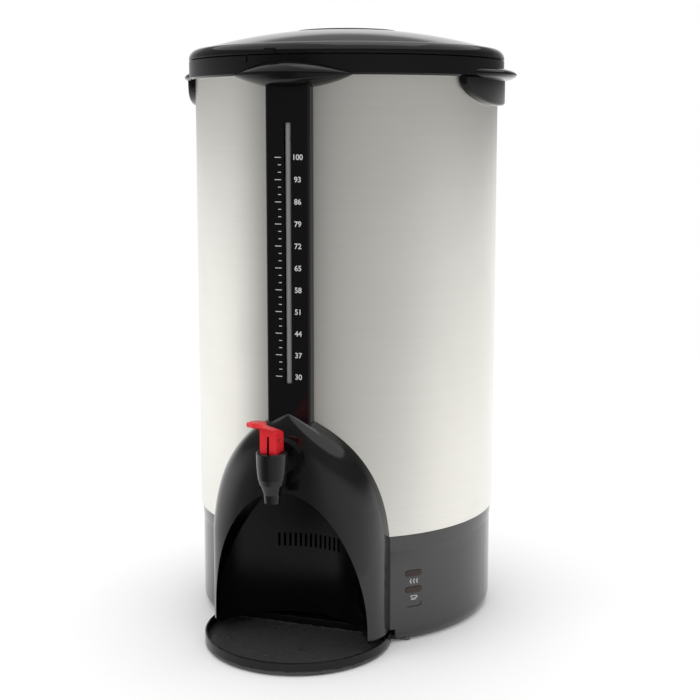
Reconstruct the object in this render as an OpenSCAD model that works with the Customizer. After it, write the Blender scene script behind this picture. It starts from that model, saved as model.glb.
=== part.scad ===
// Coffee urn: a steel tank on a moulded base, with a cup bay, a tap, a sight gauge, a twist-off lid
// and a percolator inside. Millimetres; +Z is up, the front is -Y, and the origin is on the tank's
// axis at table level.

/* [Tank] */
// Outside diameter of the steel tank
tank_d = 271; // [269:0.5:273]
// Thickness of the steel wall
tank_wall = 1; // [0.8:0.1:1.2]
// Height of the steel tank wall above the base
tank_h = 391; // [380:1:400]
// Height of the tank floor above the table
floor_z = 150; // [148:0.5:151]
// Thickness of the tank floor
floor_t = 1; // [0.8:0.1:1.5]
// Inside diameter of the heating well in the floor
well_d = 82; // [76:1:88]
// Depth of the heating well
well_depth = 14; // [10:1:16]

/* [Base] */
// Step in from the steel to the base's waist
base_step = 2.25; // [2:0.25:3.5]
// Height of the base
base_h = 95; // [93:0.5:96]
// Wall of the base moulding
base_wall = 3; // [2.5:0.25:3.5]
// Radius of the base's bottom edge
base_edge_r = 10; // [8:0.5:12]
// Thickness of the rim that the urn stands on
rim_t = 3; // [2.5:0.25:3.5]
// Thickness of the bottom plate
plate_t = 2; // [1.5:0.25:2.5]
// Diameter of each rubber foot
foot_d = 18; // [14:1:22]
// Length of a lamp window
lamp_w = 16; // [14:0.5:18]
// Height of a lamp window
lamp_h = 5.5; // [5:0.25:6.5]
// Height of the upper lamp
lamp_z = 60; // [56:1:64]
// Distance between the lamps
lamp_pitch = 14.5; // [12:0.5:15]

/* [Hood and cup bay] */
// Reach of the hood's nose beyond the steel
hood_reach = 21.5; // [19:0.5:24]
// Half width of the hood over the cup bay
hood_half_w = 79.2; // [78:0.2:80]
// Height of the hood's top
hood_top = 201.5; // [200:0.5:204]
// Height of the hood's feet
hood_foot_z = 12.4; // [12.2:0.1:14]
// Wall of the hood
hood_wall = 3; // [2.5:0.25:3.5]
// Half width of the cup bay's mouth
bay_half_w = 69; // [66:0.5:70]
// Height of the cup bay's arch
bay_top = 138; // [134:0.5:139]
// Wall of the cup bay's liner
liner_wall = 2.5; // [2:0.25:2.5]
// Radius of the cup bay's round back wall
bay_back_r = 72; // [70:0.5:73]
// Number of vent slots in the back wall
vents = 13; // [9:2:15]

/* [Drip tray] */
// Diameter of the drip tray
tray_d = 160; // [154:1:161]
// Height of the tray's rim
tray_h = 10; // [8:0.5:10.5]
// Wall of the tray
tray_wall = 2; // [1.5:0.25:2.5]

/* [Sight gauge] */
// Width of the gauge strip
gauge_w = 38.4; // [36:0.4:40]
// How far the gauge's face stands out beyond the steel
gauge_proud = 7.5; // [7:0.25:8]
// Outside diameter of the sight tube
tube_d = 6; // [5.6:0.1:6.2]
// Bore of the sight tube
tube_bore = 4; // [3.5:0.1:4.4]
// Lower end of the window
window_z = 227; // [222:1:232]
// Length of the window
window_h = 213; // [205:1:218]

/* [Tap] */
// Height of the tap's inlet
tap_z = 164; // [163.5:0.25:165]
// Diameter of the spout
spout_d = 12.8; // [12:0.2:13.6]
// Bore of the spout
spout_bore = 8.6; // [8:0.2:9]
// Height of the spout's mouth
spout_z = 136; // [134:0.5:137]
// Diameter of the tap body's rim
tap_rim_d = 25.6; // [25:0.2:26.4]
// Width of the lever
lever_w = 14; // [12:0.5:14.5]
// Reach of the lever in front of the spout
lever_reach = 34; // [30:0.5:40]
// Diameter of the valve stem
stem_d = 5; // [4.6:0.1:5.2]
// Diameter of the lever pin
pin_d = 3; // [2.6:0.1:3.2]
// Turns of the tap spring
spring_turns = 5.5; // [4.5:0.5:6]

/* [Collar and handles] */
// How far the collar stands out beyond the steel
collar_lip = 5.5; // [4.5:0.25:6.5]
// Height of the collar
collar_h = 16.5; // [16:0.25:18]
// Reach of a side handle beyond the collar
handle_out = 13; // [11:0.5:16]
// Half length of a side handle
handle_half = 50; // [47:1:54]
// Depth of the skirt under a handle
skirt_h = 23; // [20:0.5:25]
// Reach of the front visor beyond the collar
visor_out = 13.5; // [11:0.5:16]
// Half length of the front visor
visor_half = 53; // [50:0.5:57]
// Height of the front visor
visor_h = 24; // [21:0.5:27]

/* [Lid] */
// Height of the lid's dome above its rim
dome_rise = 19; // [16:0.5:21]
// Height of the lid's upright rim with its round shoulder
lid_rim_h = 9.6; // [9.2:0.1:11]
// Wall of the lid
lid_wall = 2.5; // [2:0.25:3]
// Diameter of the raised island in the middle of the lid
grip_d = 92; // [86:1:100]
// Width of the bridge between the two finger wells
bridge_w = 20; // [17:0.5:24]
// Angle that the lid turns to lock
lock_turn = 12; // [10:0.5:13]

/* [Percolator] */
// Diameter of the pump's foot
pump_foot_d = 74; // [68:1:75]
// Diameter of the pump tube
pump_d = 12; // [11:0.5:13]
// Wall of the pump tube
pump_wall = 1; // [0.8:0.1:1.2]
// Diameter of the coffee basket
basket_d = 200; // [190:1:210]
// Height of the coffee basket
basket_h = 52; // [48:0.5:53]
// Diameter of each hole in the basket
hole_d = 3; // [2.4:0.2:3.4]

/* [Hidden] */
$fn = 96;

far = 400;        // longer than any cut needs
over = 1;         // how far a cut runs past the face that it opens
gap = 0.3;        // between pieces that move past each other
fit = 0.1;        // between pieces that are fixed together
hood_gap = 0.25;  // between the hood and what it is set against
running = 0.05;   // round a pin that turns in a hole

tank_r = tank_d / 2;
tank_in = tank_r - tank_wall;
tank_top = base_h + tank_h;
base_r = tank_r - base_step;
base_in = base_r - base_wall;
well_z = floor_z - well_depth;
well_r = well_d / 2;
hood_nose = tank_r + hood_reach;
gauge_face = tank_r + gauge_proud;
collar_r = tank_r + collar_lip;

// ---------- helpers ----------

// Turns children that lie along +X to an angle round the urn, with 0 at the front and 90 at +X.
module at(angle) {
    rotate(angle - 90) children();
}

module tube(r_out, r_in, z0, z1) {
    translate([0, 0, z0])
        difference() {
            cylinder(r = r_out, h = z1 - z0);
            translate([0, 0, -over]) cylinder(r = r_in, h = z1 - z0 + 2 * over);
        }
}

module disc(r, z0, z1) {
    translate([0, 0, z0]) cylinder(r = r, h = z1 - z0);
}

module block(x, y, z) {
    translate([x[0], y[0], z[0]]) cube([x[1] - x[0], y[1] - y[0], z[1] - z[0]]);
}

// A rod along Y between two distances in front of the axis.
module front_rod(r, y0, y1, z, x = 0) {
    translate([x, -y0, z]) rotate([90, 0, 0]) cylinder(r = r, h = y1 - y0);
}

module side_rod(r, half, y, z) {
    translate([-half, y, z]) rotate([0, 90, 0]) cylinder(r = r, h = 2 * half);
}

// Part of a ring, centred on an angle round the urn.
module ring_arc(angle, sweep, r_in, r_out, z0, z1) {
    at(angle - sweep / 2)
        rotate_extrude(angle = sweep) translate([r_in, z0]) square([r_out - r_in, z1 - z0]);
}

module torus(r_ring, r_tube, z) {
    translate([0, 0, z]) rotate_extrude() translate([r_ring, 0]) circle(r = r_tube);
}

module hex(across_flats, z0, z1) {
    translate([0, 0, z0]) cylinder(d = across_flats / cos(30), h = z1 - z0, $fn = 6);
}

// A bent wire through a list of points, with a ball at each bend.
module wire(points, r) {
    last = len(points) - 1;
    function unit(v) = v / norm(v);
    function at_end(i) = i == 0 ? points[0] + r * unit(points[1] - points[0])
        : i == last ? points[last] + r * unit(points[last - 1] - points[last]) : points[i];
    for (i = [0 : last - 1])
        hull() {
            translate(at_end(i)) sphere(r = r);
            translate(at_end(i + 1)) sphere(r = r);
        }
}

// ---------- base ----------

flare_r = tank_r - 0.9;       // the base's top edge, just inside the steel
flare_z = base_h - 14;
rim_out = base_r - base_edge_r;
rim_in = rim_out - 6;
spigot_h = 13;
spigot_r = tank_in - 0.2;
slot_half = tray_d / 2 + 1.5;
slot_z = hood_foot_z - 0.2;
tray_centre = hood_nose - 34;
tray_back = tray_centre - 24;
screw_r = base_r - 21;
screw_angles = [50, 130, 230, 310];

module base_outline(grow = 0) {
    r = base_r + grow;
    translate([0, base_edge_r]) square([r, base_h - base_edge_r]);
    square([r - base_edge_r, base_h]);
    translate([r - base_edge_r, base_edge_r]) circle(r = base_edge_r);
    polygon([[r - over, flare_z], [r, flare_z], [flare_r + grow, base_h - 0.8],
             [flare_r + grow - 0.8, base_h], [r - over, base_h]]);
}

// Everything that the hood fits against: the base below, the steel above.
module body_envelope(grow) {
    rotate_extrude() {
        difference() {
            base_outline(grow);
            translate([-far, 0]) square([far, far]);
        }
    }
    disc(tank_r + grow, base_h - 0.6, tank_top);
}

module stadium_plug(r0, r1, w, h, angle, z) {
    at(angle)
        translate([r0, 0, z])
            rotate([90, 0, 90])
                linear_extrude(r1 - r0) {
                    square([w - h, h], center = true);
                    for (s = [-1, 1]) translate([s * (w - h) / 2, 0]) circle(d = h);
                }
}

lamp_angle = 45;
inlet_z = 40;
inlet_w = 27;
inlet_h = 18;

module base_shell() {
    boss_r = 5;
    pilot_r = 1.6;
    color("#141416")
        difference() {
            union() {
                rotate_extrude()
                    difference() {
                        base_outline();
                        translate([-far, -over]) square([far, far]);
                        translate([0, -over]) square([rim_in, base_h + 2 * over]);
                        translate([0, base_edge_r]) square([base_in, base_h]);
                        translate([0, rim_t]) square([rim_out, base_h]);
                        intersection() {
                            translate([rim_out, base_edge_r]) circle(r = base_edge_r - base_wall);
                            translate([0, rim_t]) square([base_r, base_h]);
                        }
                    }
                tube(spigot_r, spigot_r - base_wall, base_h - 2, base_h + spigot_h);
                for (a = screw_angles) at(a) {
                    translate([screw_r, 0, rim_t + plate_t + fit]) cylinder(r = boss_r, h = 20);
                    block([screw_r, base_in + over], [-1.5, 1.5], [rim_t + plate_t + fit + 6, 22]);
                }
                intersection() {
                    block([-base_r, base_r], [-tray_back + 2, -tray_back + 4.5], [0.6, slot_z]);
                    disc(base_in + over, 0, slot_z);
                }
            }
            for (a = screw_angles) at(a)
                translate([screw_r, 0, 0]) cylinder(r = pilot_r, h = 18);
            bay_solid(liner_wall + 0.5, bay_back_r + far);
            block([-slot_half, slot_half], [-far, -tray_back + 2], [-over, slot_z]);
            for (i = [0, 1])
                stadium_plug(base_in - 8, base_r + 8, lamp_w, lamp_h, lamp_angle, lamp_z - i * lamp_pitch);
            stadium_plug(base_r - 0.8, base_r + 8, lamp_w, lamp_h, lamp_angle,
                         lamp_z - 2 * lamp_pitch + 2);
            block([-inlet_w / 2, inlet_w / 2], [base_in - 10, base_r + 8],
                  [inlet_z - inlet_h / 2, inlet_z + inlet_h / 2]);
        }
}

foot_r = base_r - 32;
foot_angles = [56, 125, 235, 304];
rod_r = well_r + 29;
rod_angles = [30, 150, 270];
rod_d = 5;

module base_plate() {
    color("#3a3a3c")
        difference() {
            disc(rim_out - 0.5, rim_t, rim_t + plate_t);
            block([-far, far], [-far, -tray_back + 11], [0, 10]);
            for (a = screw_angles) at(a) translate([screw_r, 0, 0]) cylinder(r = 2, h = 10);
            for (a = foot_angles) at(a) translate([foot_r, 0, 0]) cylinder(r = 3, h = 10);
            for (a = rod_angles) at(a) translate([rod_r, 0, 0]) cylinder(r = rod_d / 2 + fit, h = 10);
        }
}

module base_screws() {
    color("#b8b8bc")
        for (a = screw_angles) at(a) translate([screw_r, 0, 0]) {
            disc(3.5, rim_t - 2, rim_t);
            disc(1.6, rim_t, 15);
        }
}

module rubber_feet() {
    color("#202022")
        for (a = foot_angles) at(a) translate([foot_r, 0, 0]) {
            disc(foot_d / 2, 0, rim_t);
            disc(3, rim_t, rim_t + plate_t);
            disc(4.2, rim_t + plate_t, rim_t + plate_t + 1.5);
        }
}

module lamp_lens(z) {
    intersection() {
        union() {
            stadium_plug(base_in - 2, base_r + 2, lamp_w - 0.4, lamp_h - 0.4, lamp_angle, z);
            stadium_plug(base_in - 4, base_in - 0.6, lamp_w + 3, lamp_h + 3, lamp_angle, z);
        }
        disc(base_r + 0.6, 0, base_h);
    }
}

module heating_lens() {
    color("#b3261e") lamp_lens(lamp_z);
}

module warm_lens() {
    color("#c77a1c") lamp_lens(lamp_z - lamp_pitch);
}

holder_r = base_in - 4.1;

module lamp_holder() {
    low = lamp_z - lamp_pitch - 6;
    high = lamp_z + 6;
    color("#d8d4c8")
        at(lamp_angle) {
            difference() {
                block([holder_r - 12, holder_r - 2.6], [-10, 10], [low, high]);
                for (z = [lamp_z, lamp_z - lamp_pitch])
                    translate([holder_r - 11, 0, z]) rotate([0, 90, 0]) cylinder(r = 3, h = 20);
            }
            for (z = [lamp_z, lamp_z - lamp_pitch])
                translate([holder_r - 11, 0, z]) rotate([0, 90, 0]) cylinder(r = 2.4, h = 7);
        }
}

module power_inlet() {
    flange = 3;
    color("#1b1b1d")
        difference() {
            union() {
                block([-inlet_w / 2 + fit, inlet_w / 2 - fit], [base_r - 18, base_r + 2.6],
                      [inlet_z - inlet_h / 2 + fit, inlet_z + inlet_h / 2 - fit]);
                difference() {
                    block([-inlet_w / 2 - flange, inlet_w / 2 + flange], [base_r - 3, base_r + 2.6],
                          [inlet_z - inlet_h / 2 - flange, inlet_z + inlet_h / 2 + flange]);
                    disc(base_r + fit, 0, base_h);
                }
            }
            block([-inlet_w / 2 + 2, inlet_w / 2 - 2], [base_r - 14, base_r + far],
                  [inlet_z - inlet_h / 2 + 2, inlet_z + inlet_h / 2 - 2]);
        }
    color("#c9a24a")
        for (x = [-7, 0, 7])
            block([x - 1, x + 1], [base_r - 22, base_r - 3], [inlet_z - 2, inlet_z + 2]);
}

terminal_y = 59;

module terminal_block() {
    z0 = rim_t + plate_t;
    color("#e4e0d2")
        difference() {
            block([-18, 18], [terminal_y - 7, terminal_y + 7], [z0, z0 + 12]);
            for (x = [-12, 0, 12]) translate([x, terminal_y, z0 + 4]) cylinder(r = 2.5, h = 20);
        }
}

module tie_rods() {
    color("#a8a8ac")
        for (a = rod_angles) at(a) translate([rod_r, 0, 0]) disc(rod_d / 2, 0.3, floor_z);
}

module rod_nuts() {
    color("#a8a8ac")
        for (a = rod_angles) at(a) translate([rod_r, 0, 0])
            difference() {
                hex(8, rim_t - 2.5, rim_t);
                disc(rod_d / 2, 0, 10);
            }
}

// ---------- heating ----------

shield_z = well_z - 20;
boil_r = well_r - 13;
boil_tube = 4.2;
warm_r = well_r + 19;
warm_tube = 3.2;
boil_z = well_z - boil_tube - fit;
clamp_z = boil_z - boil_tube - 1.6;
stud_r = 2.5;
boil_leg = 20;
boil_end = sqrt(boil_r * boil_r - 25) + boil_leg;
thermostat_y = tank_in - 42.5;

module heat_shield() {
    color("#c4c6c8")
        difference() {
            disc(tank_in - 22.5, shield_z, shield_z + 0.8);
            translate([0, -bay_centre, 0]) disc(bay_back_r + liner_wall + 4, 0, far);
            for (a = rod_angles) at(a) translate([rod_r, 0, 0]) disc(rod_d / 2 + fit, 0, far);
            block([-14, 14], [thermostat_y - 18, far], [0, far]);
        }
}

// A ring-shaped tubular element with two legs that point to the rear.
module element(r_ring, r_tube, z, leg) {
    difference() {
        torus(r_ring, r_tube, z);
        block([-5, 5], [0, far], [0, far]);
    }
    for (s = [-1, 1])
        translate([s * 5, sqrt(r_ring * r_ring - 25), z])
            rotate([-90, 0, 0]) cylinder(r = r_tube * 0.6, h = leg);
}

module boil_element() {
    color("#8d8f92") element(boil_r, boil_tube, boil_z, boil_leg);
}

module warm_element() {
    color("#8d8f92") element(warm_r, warm_tube, floor_z - warm_tube - 0.3, 14);
}

module element_clamp() {
    color("#b9bbbd")
        difference() {
            disc(boil_r + 7, clamp_z, clamp_z + 1.5);
            disc(stud_r + fit, 0, far);
        }
}

module clamp_nut() {
    color("#a8a8ac")
        difference() {
            hex(8, clamp_z - 4, clamp_z);
            disc(stud_r, 0, far);
        }
}

module thermostat() {
    color("#cfcab8") translate([0, thermostat_y, 0]) {
        disc(8, floor_z - 8, floor_z);
        for (s = [-1, 1]) block([s * 5 - 1.5, s * 5 + 1.5], [-0.4, 0.4], [floor_z - 13, floor_z - 8]);
    }
}

module thermal_fuse() {
    color("#d9dadb")
        translate([-32, thermostat_y, floor_z - 3]) {
            rotate([0, 90, 0]) cylinder(r = 2.6, h = 14);
            block([4, 10], [-5, 5], [2.4, 3]);
        }
}

module wiring() {
    $fn = 8;
    z0 = rim_t + plate_t + 12;
    r = 1.3;
    rear = base_r - 22;
    low = z0 + r;
    feed_y = terminal_y + 3;
    lamp_r = holder_r - 12 - fit;
    lamp_wire_z = lamp_z - 8;
    color("#e8e6df") {
        for (x = [-7, 0, 7])
            wire([[x, rear - fit, inlet_z], [x, rear - 22, inlet_z], [x * 1.6, terminal_y + 11, z0 + 12],
                  [x * 1.7, terminal_y, z0 + 4], [x * 1.7, terminal_y, z0 - 6]], r);
        wire([[5, thermostat_y, floor_z - 13 - r], [5, thermostat_y, 70], [5, feed_y, 44], [5, feed_y, low]], r);
        wire([[-5, thermostat_y, floor_z - 13 - r], [-5, thermostat_y - 14, shield_z + 12],
              [-5, boil_end + 12, boil_z], [-5, boil_end + fit, boil_z]], r);
        wire([[16, feed_y, low], [40, 20, 40], [70, -60, lamp_wire_z],
              [lamp_r * sin(lamp_angle), -lamp_r * cos(lamp_angle), lamp_wire_z]], r);
    }
}

// ---------- hood and cup bay ----------

bay_h = bay_top - 20;
bay_foot = 20;
bay_centre = hood_nose + 8;
bay_run = 130;
hood_back = hood_nose - 57;

// The arch of the cup bay's mouth, grown outwards by a wall.
module bay_arch(grow) {
    steps = 24;
    w = bay_half_w + grow;
    h = bay_h + grow;
    polygon(concat([[-w, 0], [w, 0]],
                   [for (i = [0 : steps]) [w * cos(180 * i / steps), bay_foot + h * sin(180 * i / steps)]]));
}

module bay_solid(grow, back_r) {
    intersection() {
        translate([0, -(bay_centre - 95), 0]) rotate([90, 0, 0]) linear_extrude(bay_run) bay_arch(grow);
        translate([0, -bay_centre, 0]) disc(back_r, 0, far);
    }
}

// Each level section of the hood is half a superellipse, which narrows to the top.
function hood_width(z, wall) =
    let (low = 40, t = (max(z, base_h) - low) / (hood_top - wall - low))
        (hood_half_w - wall) * pow(max(0, 1 - pow(t, 3.4)), 0.63);
function hood_front(z, wall) =
    hood_nose - wall - 13.5 * pow(max(0, (z - 135) / (hood_top - wall - 135)), 2.6);

module hood_section(z, wall) {
    arc_steps = 26;
    power = 2 / 3.5;
    w = max(0.2, hood_width(z, wall));
    depth = hood_front(z, wall) - hood_back;
    polygon([for (i = [0 : arc_steps])
        let (a = 180 * i / arc_steps, c = cos(a))
            [w * sign(c) * pow(abs(c), power), -hood_back - depth * pow(sin(a), power)]]);
}

module hood_solid(wall, z_low) {
    levels = 18;
    top = hood_top - wall;
    straight = 100;
    hull() {
        translate([0, 0, z_low]) linear_extrude(0.01) hood_section(z_low, wall);
        for (i = [0 : levels]) {
            z = straight + (top - straight) * sin(90 * i / levels);
            translate([0, 0, z]) linear_extrude(0.01) hood_section(z, wall);
        }
    }
}

boss_proud = 5;
boss_face = hood_nose + boss_proud;
boss_r = 19;
boss_back = hood_nose - 37;
liner_back = hood_nose - 52;
shank_r = 9;
flange_r = shank_r + 3;
elbow_y = tank_r + 8.5;
elbow_z = tap_z + flange_r + 0.2;
elbow_h = 5.5;

module tap_hood() {
    color("#121214")
        difference() {
            union() {
                hood_solid(0, hood_foot_z);
                front_rod(boss_r, boss_back, boss_face, tap_z);
            }
            difference() {
                hood_solid(hood_wall, hood_foot_z - over);
                front_rod(boss_r - 3, boss_back, boss_face, tap_z);
            }
            body_envelope(hood_gap);
            block([-far, far], [-liner_back, 0], [0, far]);
            bay_solid(0, bay_back_r + far);
            gauge_bar(0.15, 0);
            front_rod(shank_r + fit, 0, boss_face + over, tap_z);
            front_rod(shank_r + 7, 0, hood_nose - 5, tap_z);
            elbow_room();
        }
}

// Space behind the hood's boss for the elbow at the foot of the sight tube.
module elbow_room() {
    block([-7, 7], [-elbow_y - 5, -boss_back], [tap_z, elbow_z + elbow_h + 0.5]);
}

module cup_bay() {
    flange_half = bay_half_w + liner_wall;
    vent_pitch = 4.6;
    vent_low = 72;
    vent_high = 84;
    color("#0d0d0e")
        intersection() {
            difference() {
                union() {
                    bay_solid(liner_wall, bay_back_r + liner_wall);
                    block([-flange_half, flange_half], [-tray_centre, -tray_back + 4.5],
                          [hood_foot_z, hood_foot_z + 2]);
                }
                bay_solid(0, bay_back_r);
                for (i = [0 : vents - 1])
                    block([(i - (vents - 1) / 2) * vent_pitch - 1, (i - (vents - 1) / 2) * vent_pitch + 1],
                          [-(bay_centre - 55), -(bay_centre - 105)], [vent_low, vent_high]);
            }
            union() {
                hood_solid(hood_wall + 0.6, hood_foot_z);
                block([-far, far], [-liner_back, 0], [hood_foot_z, far]);
            }
        }
}

module drip_tray() {
    r = tray_d / 2;
    z0 = 1;
    bevel = 1.2;
    color("#101012")
        difference() {
            translate([0, -tray_centre, 0])
                rotate_extrude()
                    difference() {
                        polygon([[0, z0], [r - bevel, z0], [r, z0 + bevel], [r, z0 + tray_h], [0, z0 + tray_h]]);
                        translate([0, z0 + tray_wall]) square([r - tray_wall, tray_h]);
                    }
            block([-far, far], [-tray_back, far], [-over, far]);
        }
    color("#101012")
        intersection() {
            translate([0, -tray_centre, 0]) disc(r - bevel, z0, z0 + tray_h - 1);
            block([-far, far], [-tray_back - tray_wall, -tray_back], [0, far]);
        }
}

// ---------- tank ----------

handle_screw_z = tank_top - 19;
handle_screw_angles = [75, 105, 255, 285];

module tank_wall_shell() {
    color("#c9c8c2")
        difference() {
            tube(tank_r, tank_in, base_h, tank_top);
            bay_solid(liner_wall + 1, bay_back_r + far);
            front_rod(shank_r + fit, 0, far, tap_z);
            for (a = handle_screw_angles) at(a)
                translate([0, 0, handle_screw_z]) rotate([0, 90, 0]) cylinder(r = 2.1, h = far);
        }
}

module tank_floor() {
    r = tank_in - fit;
    t = floor_t;
    hole = well_r + t + fit;
    color("#bdbcb6")
        rotate_extrude()
            polygon([[hole, floor_z], [r - t, floor_z], [r - t, floor_z - 7], [r, floor_z - 7],
                     [r, floor_z + t], [hole, floor_z + t]]);
}

// A cup that hangs in the floor's middle hole, with a ledge under the floor and a stud below.
module heating_well() {
    t = floor_t;
    wall = well_r + t;
    ledge = wall + 4;
    color("#b4b3ad") {
        disc(stud_r, clamp_z - 7, well_z + t);
        rotate_extrude()
            polygon([[0, well_z], [wall, well_z], [wall, floor_z - t], [ledge, floor_z - t], [ledge, floor_z],
                     [wall, floor_z], [wall, floor_z + t], [well_r, floor_z + t], [well_r, well_z + t],
                     [0, well_z + t]]);
    }
}

// ---------- tap ----------

shank_bore = 4.5;
shoulder_y = tank_r + 3.7;
tap_gap = 4.2;
tap_y = boss_face + tap_rim_d / 2 + tap_gap;
rim_z = tap_z + 14;
seat_z = tap_z - 14;
bonnet_r = tap_rim_d / 2 - 1.9;
bonnet_top = rim_z - 1;
bonnet_t = bonnet_top - tap_z - shank_r;
chamber_r = 7.5;
body_end = tap_y - chamber_r - fit;
pin_z = bonnet_top + 11;
stem_top = pin_z + 3;
cup_r = 6.2;
cup_h = 6.4;
cup_z = seat_z + 0.1;

module tap_shank() {
    color("#2a2a2c")
        difference() {
            union() {
                front_rod(shank_r - fit, tank_in - 14.5, body_end, tap_z);
                front_rod(flange_r, shoulder_y, shoulder_y + 3, tap_z);
                translate([0, -elbow_y, tap_z]) cylinder(r = 4.5, h = flange_r);
            }
            front_rod(shank_bore, 0, body_end + over, tap_z);
            translate([0, -elbow_y, tap_z]) cylinder(r = 3.1, h = 30);
        }
}

module shank_nut() {
    color("#2a2a2c")
        difference() {
            translate([0, -(tank_in - 3), tap_z]) rotate([90, 0, 180])
                cylinder(d = 24 / cos(30), h = 7, $fn = 6);
            front_rod(shank_r - fit, 0, far, tap_z);
        }
}

module shank_washers() {
    color("#8f3a2e")
        difference() {
            union() {
                front_rod(flange_r, tank_in - 3, tank_in + 1, tap_z);
                front_rod(flange_r, tank_r - 1, shoulder_y, tap_z);
            }
            tube(tank_r, tank_in, 0, far);
            front_rod(shank_r - fit, 0, far, tap_z);
        }
}

module tap_body() {
    r = tap_rim_d / 2;
    s = spout_d / 2;
    color("#1c1c1f")
        difference() {
            union() {
                translate([0, -tap_y, 0])
                    rotate_extrude()
                        polygon([[0, spout_z], [s, spout_z], [s + 0.6, seat_z - 7], [s + 1.2, seat_z - 5],
                                 [s + 2.6, seat_z - 1.5], [s + 4, seat_z + 1.5], [s + 5.2, seat_z + 6],
                                 [r - 0.5, seat_z + 11], [r - 0.1, seat_z + 18], [r, seat_z + 24],
                                 [r, rim_z - 0.8], [r - 0.6, rim_z], [0, rim_z]]);
                front_rod(10.6, boss_face + 0.05, tap_y, tap_z);
            }
            translate([0, -tap_y, 0]) {
                disc(spout_bore / 2, spout_z - over, seat_z + over);
                disc(chamber_r, seat_z, rim_z);
                disc(bonnet_r + fit, bonnet_top - bonnet_t, rim_z + over);
            }
            front_rod(shank_r - fit, 0, body_end, tap_z);
            front_rod(shank_bore, 0, tap_y, tap_z);
        }
}

module tap_bonnet() {
    color("#2c2c2f")
        translate([0, -tap_y, 0])
            difference() {
                disc(bonnet_r, bonnet_top - bonnet_t, bonnet_top);
                disc(stem_d / 2 + gap, 0, far);
            }
}

module tap_stem() {
    color("#d0d0d2")
        difference() {
            translate([0, -tap_y, 0]) disc(stem_d / 2, cup_z + 2.5, stem_top);
            side_rod(pin_d / 2, 20, -tap_y, pin_z);
        }
}

module seat_cup() {
    color("#7c2f27")
        translate([0, -tap_y, 0])
            difference() {
                disc(cup_r, cup_z, cup_z + cup_h);
                disc(stem_d / 2, cup_z + 2.5, far);
            }
}

module lever_pin() {
    color("#d0d0d2") side_rod(pin_d / 2, lever_w / 2 - 0.2, -tap_y, pin_z);
}

// The spring is one round wire, swept along its helix.
module tap_spring() {
    rings = 8;
    sides = 6;
    wire_r = 0.55;
    coil_r = 4.4;
    low = cup_z + cup_h + wire_r + 0.1;
    high = bonnet_top - bonnet_t - wire_r - 0.1;
    n = floor(spring_turns * rings);
    points = [for (i = [0 : n]) for (j = [0 : sides - 1])
        let (a = 360 * i / rings, b = 360 * j / sides, r = coil_r + wire_r * cos(b))
            [r * cos(a), r * sin(a), low + (high - low) * i / n + wire_r * sin(b)]];
    faces = concat([[for (j = [0 : sides - 1]) j]],
                   [[for (j = [sides - 1 : -1 : 0]) n * sides + j]],
                   [for (i = [0 : n - 1]) for (j = [0 : sides - 1])
                       let (k = (j + 1) % sides)
                           each [[i * sides + j, (i + 1) * sides + j, (i + 1) * sides + k],
                                 [i * sides + j, (i + 1) * sides + k, i * sides + k]]]);
    color("#c0c2c4") translate([0, -tap_y, 0]) polyhedron(points, faces);
}

// The lever is a block on the stem's pin, with a blade that slopes up to the front.
module tap_lever() {
    half = lever_w / 2;
    bottom = bonnet_top + 0.5;
    front = 8;
    rear = 8;
    tip_z = pin_z + 18.5;
    cheek = stem_d / 2 + 0.6;
    color("#c8102e")
        translate([0, -tap_y, 0])
            difference() {
                union() {
                    translate([half, 0, 0]) rotate([90, 0, -90])
                        linear_extrude(lever_w)
                            polygon([[front, bottom], [front, pin_z + 9], [lever_reach - 1, tip_z - 1.5],
                                     [lever_reach, tip_z + 0.5], [lever_reach - 1.5, tip_z + 2.2],
                                     [front + 12, pin_z + 15.6], [front, pin_z + 11.5],
                                     [-rear + 3, pin_z + 6.6], [-rear, pin_z + 4], [-rear, bottom]]);
                    translate([0, -lever_reach + half - 1, tip_z - 1.5]) cylinder(r = half, h = 3);
                }
                block([-cheek, cheek], [-6.6, 6.6], [bottom - over, stem_top + 1.4]);
                block([-1, 1], [-front - over, 0], [bottom - over, pin_z + 4]);
                side_rod(pin_d / 2 + running, far, 0, pin_z);
            }
}

// ---------- sight gauge ----------

gauge_low = hood_top - 11;
gauge_high = tank_top - 8;
tube_y = tank_r + 0.2 + tube_d / 2;

// The outer form of the gauge strip, from behind the steel's surface to the face.
module gauge_bar(grow, low_drop) {
    r = 2;
    w = gauge_w / 2 + grow;
    face = gauge_face + grow;
    translate([0, 0, gauge_low - low_drop])
        linear_extrude(gauge_high - gauge_low + low_drop) {
            translate([-w, -face + r]) square([2 * w, face - tank_r + 5.5 - r]);
            translate([-w + r, -face]) square([2 * (w - r), r + over]);
            for (s = [-1, 1]) translate([s * (w - r), -face + r]) circle(r = r);
        }
}

module gauge_strip() {
    color("#0f0f11")
        difference() {
            gauge_bar(0, 0);
            disc(tank_r + 0.05, 0, far * 2);
            translate([0, -tube_y, 0]) disc(tube_d / 2 + gap, 0, gauge_high - 8);
            block([-tube_d / 2 - 0.2, tube_d / 2 + 0.2], [-far, -tube_y], [window_z, window_z + window_h]);
        }
}

tube_low = elbow_z + 6;
tube_high = gauge_high - 12;

module sight_tube() {
    color("#dfe6e8", 0.5)
        translate([0, -tube_y, 0]) tube(tube_d / 2, tube_bore / 2, tube_low, tube_high);
}

module gauge_cap() {
    color("#303033")
        translate([0, -tube_y, 0]) disc(tube_d / 2, tube_high, gauge_high - 8.2);
}

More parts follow.
